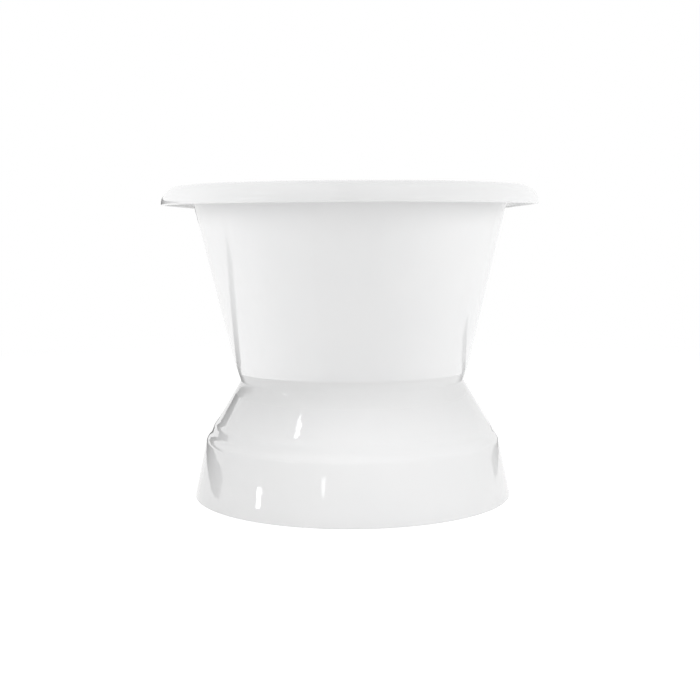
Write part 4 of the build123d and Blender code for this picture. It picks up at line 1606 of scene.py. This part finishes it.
@dataclass(frozen=True)
class Flag:
    """A dark cloth on a frame that the gloss mirrors and the camera doesn't see."""

    name: str
    stand: tuple[float, float, float]
    size: Point
    turn: float
    shade: float = 0.02

    def stretch(self) -> None:
        """Stand the cloth up."""
        bm = bmesh.new()
        bmesh.ops.create_grid(bm, x_segments=1, y_segments=1, size=0.5)
        bmesh.ops.scale(bm, vec=(*self.size, 1.0), verts=bm.verts)
        upright = Matrix.Rotation(math.radians(self.turn), 4, "Z") @ Matrix.Rotation(math.pi / 2, 4, "X")
        place(bm, Matrix.Translation(self.stand) @ upright)
        mesh = bpy.data.meshes.new(self.name)
        bm.to_mesh(mesh)
        bm.free()
        flag = bpy.data.objects.new(self.name, mesh)
        bpy.context.scene.collection.objects.link(flag)
        shader = Shader(self.name)
        low, high = (self.shade * 0.8,) * 3, (self.shade * 1.2,) * 3
        shader.wire(shader.blend(shader.noise(0.3), low, high), shader.input("Base Color"))
        shader.plain(Roughness=1.0)
        mesh.materials.append(shader.material)
        flag.visible_camera = False
        flag.visible_diffuse = False
        flag.visible_shadow = False


@dataclass
class Studio:
    """A white sweep, soft lamps and the photograph's viewpoint."""

    distance: float = 2.949
    aside: float = 0.062
    height: float = 0.5775
    yaw: float = 1.455
    pitch: float = 5.905
    roll: float = 0.3
    lens: float = 62.48
    glow: float = 0.76
    glow_strength: float = 1.18
    fade: Point = (1.4, 3.0)
    ambient: float = 0.5
    lamps: tuple[Lamp, ...] = (
        Lamp("left_box", (1.9, -2.9, 1.2), (0.2, 0.0, 0.35), (1.4, 1.8), 14.0),
        Lamp("left_tub_box", (1.9, -2.9, 1.2), (0.2, 0.0, 0.35), (1.4, 1.8), 33.0, lights=TUB),
        Lamp("right_box", (1.9, 2.9, 1.2), (0.2, 0.0, 0.35), (1.4, 1.8), 29.0),
        Lamp("right_tub_box", (1.9, 2.9, 1.2), (0.2, 0.0, 0.35), (1.4, 1.8), 19.0, lights=TUB),
        Lamp("top_box", (0.4, 0.0, 3.0), (0.2, 0.0, 0.3), (2.6, 1.8), 18.0),
        Lamp("front_box", (1.9, 0.0, 2.4), (0.6, 0.0, 0.15), (1.6, 0.8), 25.0, lights=FOOT),
        Lamp("low_window", (1.645, -2.977, 0.345), (0.625, -0.175, 0.05), (0.2, 0.12), 1.0, True),
        Lamp("high_window", (1.573, -1.534, 1.98), (0.603, -0.094, 0.186), (0.23, 0.035), 0.25, True),
        Lamp("shelf_window", (1.965, -1.96, 1.18), (0.632, -0.129, 0.12), (0.75, 0.03), 0.6, True),
        Lamp("near_window", (2.964, -0.88, 0.584), (0.664, -0.044, 0.086), (0.12, 0.1), 0.12, True),
        Lamp("far_window", (2.376, 1.568, 1.168), (0.626, 0.1, 0.151), (0.3, 0.06), 0.3, True),
    )
    flags: tuple[Flag, ...] = (
        Flag("far_left_flag", (-2.66, -2.82, 0.7), (3.4, 0.56), -50.0),
        Flag("low_left_flag", (-0.21, -0.9, 0.045), (1.1, 0.09), -48.0, 0.15),
        Flag("low_right_flag", (-0.3, 0.71, 0.04), (0.6, 0.07), 48.0, 0.6),
    )

    def camera(self) -> None:
        """Place the camera where the photograph was taken from."""
        data = bpy.data.cameras.new("camera")
        data.lens = self.lens
        data.sensor_width = 36.0
        data.clip_end = 60.0
        camera = bpy.data.objects.new("camera", data)
        bpy.context.scene.collection.objects.link(camera)
        yaw, pitch = math.radians(self.yaw), math.radians(self.pitch)
        ahead = Vector(
            (-math.cos(pitch) * math.cos(yaw), -math.cos(pitch) * math.sin(yaw), -math.sin(pitch))
        )
        turn = ahead.to_track_quat("-Z", "Y").to_matrix().to_4x4()
        camera.matrix_world = (
            Matrix.Translation((self.distance, self.aside, self.height))
            @ turn
            @ Matrix.Rotation(-math.radians(self.roll), 4, "Z")
        )
        bpy.context.scene.camera = camera

    def floor(self) -> None:
        """Lay a white floor that keeps the bath's shadow and fades to plain white round it."""
        bm = bmesh.new()
        bmesh.ops.create_grid(bm, x_segments=1, y_segments=1, size=20.0)
        mesh = bpy.data.meshes.new("floor")
        bm.to_mesh(mesh)
        bm.free()
        floor = bpy.data.objects.new("floor", mesh)
        bpy.context.scene.collection.objects.link(floor)
        shader = Shader("white_floor")
        shader.plain(Base_Color=(0.8, 0.8, 0.8), Roughness=0.9)
        spot = shader.node("ShaderNodeTexCoord")
        away = shader.node("ShaderNodeVectorMath", operation="LENGTH")
        shader.wire(spot.outputs["Object"], away.inputs[0])
        near, far = self.fade
        share = shader.node("ShaderNodeMapRange", interpolation_type="SMOOTHSTEP")
        share.inputs["From Min"].default_value = near
        share.inputs["From Max"].default_value = far
        share.inputs["To Min"].default_value = self.glow
        share.inputs["To Max"].default_value = 1.0
        shader.wire(away.outputs["Value"], share.inputs["Value"])
        strength = shader.node("ShaderNodeMapRange", interpolation_type="SMOOTHSTEP")
        strength.inputs["From Min"].default_value = near
        strength.inputs["From Max"].default_value = far
        strength.inputs["To Min"].default_value = self.glow_strength
        strength.inputs["To Max"].default_value = 1.0
        shader.wire(away.outputs["Value"], strength.inputs["Value"])
        white = shader.node("ShaderNodeEmission")
        white.inputs["Color"].default_value = (1.0, 1.0, 1.0, 1.0)
        shader.wire(strength.outputs["Result"], white.inputs["Strength"])
        part = shader.node("ShaderNodeMath", operation="MULTIPLY")
        shader.wire(seen_plainly(shader.tree), part.inputs[0])
        shader.wire(share.outputs["Result"], part.inputs[1])
        mix = shader.node("ShaderNodeMixShader")
        shader.wire(part.outputs["Value"], mix.inputs["Fac"])
        shader.wire(shader.surface.outputs["BSDF"], mix.inputs[1])
        shader.wire(white.outputs["Emission"], mix.inputs[2])
        shader.wire(mix.outputs["Shader"], shader.tree.nodes["Material Output"].inputs["Surface"])
        mesh.materials.append(shader.material)

    def world(self) -> None:
        """Surround the bath with even light that looks white."""
        world = bpy.data.worlds.new("studio")
        bpy.context.scene.world = world
        world.use_nodes = True
        tree = world.node_tree
        background = tree.nodes["Background"]
        background.inputs["Color"].default_value = (1.0, 1.0, 1.0, 1.0)
        span = tree.nodes.new("ShaderNodeMapRange")
        span.inputs["To Min"].default_value = self.ambient
        span.inputs["To Max"].default_value = 1.0
        tree.links.new(seen_plainly(tree), span.inputs["Value"])
        tree.links.new(span.outputs["Result"], background.inputs["Strength"])

    def build(self) -> None:
        """Set up the whole studio."""
        self.camera()
        self.floor()
        self.world()
        for lamp in self.lamps:
            lamp.hang()
        for flag in self.flags:
            flag.stretch()
        bpy.context.scene.view_settings.view_transform = "Standard"


def settle(
    finishes: Finishes, piece: bpy.types.Object, finish: str, node: str, body: Body = Body.BATH
) -> None:
    """Dress a piece, let it ride on its body and stand for its node.

    Args:
        finishes: The finishes.
        piece: The finished piece.
        finish: Name of its finish.
        node: The node that it stands for.
        body: The body that it rides on.
    """
    finishes.dress(piece, finish)
    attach(piece, body.value)
    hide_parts(node)
    log.info("%s stands for %s, %d faces", piece.name, node, len(piece.data.polygons))


def main() -> None:
    """Build the bath's pieces in order, dress them and set up the studio."""
    logging.basicConfig(level=logging.INFO, format="%(message)s")
    finishes = Finishes()

    bath = BathShell()
    seat = OverflowSeat(520.0, bath.side_wall.reach(520.0), bath.side_wall.lean)
    pipe = OverflowPipe(seat)
    waist = bath.wall_outline(bath.side_wall.waist_height)
    plinth = Plinth(edge=waist.side + 0.8, straight=waist.straight)
    waste = WasteSet(pipe)
    head = OverflowHead(seat)
    stopper = Stopper()

    settle(finishes, bath.build(seat), "bath", "tub_shell")
    passage = pipe.radius + 5.0
    settle(finishes, plinth.build(pipe.tube(passage)), "plinth", "pedestal")
    settle(finishes, SeamCove(bath, plinth).build(pipe.tube(passage)), "sealant", "joint_sealant")
    settle(finishes, DrainFlange().build(), "chrome", "drain_flange")
    settle(finishes, waste.build_shoe(), "cast", "waste_shoe")
    settle(finishes, waste.build_tee(), "cast", "waste_tee")
    settle(finishes, waste.build_nuts(), "turned", "slip_nuts")
    settle(finishes, waste.build_pipe(), "drawn", "overflow_pipe")
    settle(finishes, waste.build_tail(), "drawn", "tailpiece")
    settle(finishes, head.build_elbow(), "cast", "overflow_head")
    settle(finishes, head.build_plate(), "chrome", "overflow_plate")
    settle(finishes, head.build_screws(), "chrome", "overflow_screws")
    settle(finishes, stopper.build_cap(), "chrome", "stopper_cap", Body.STOPPER)
    settle(finishes, stopper.build_seal(), "rubber", "stopper_seal", Body.STOPPER)
    fixing_finishes = {
        "base_studs": "zinc", "base_nuts": "zinc", "base_washers": "zinc", "support_pads": "rubber",
    }
    for node, piece in HoldDowns().build().items():
        settle(finishes, piece, fixing_finishes[node], node)
    kept = {
        "drain_bead": "putty", "drain_gasket": "rubber", "shoe_pipe": "drawn",
        "overflow_gasket": "rubber", "slip_washers": "rubber", "stopper_cartridge": "turned",
        "stopper_stem": "turned",
    }
    for node, finish in kept.items():
        finishes.dress_node(node, finish)
        log.info("%s keeps the packed shape", node)
    Studio().build()

    bpy.context.view_layer.update()


if __name__ == "__main__":
    main()
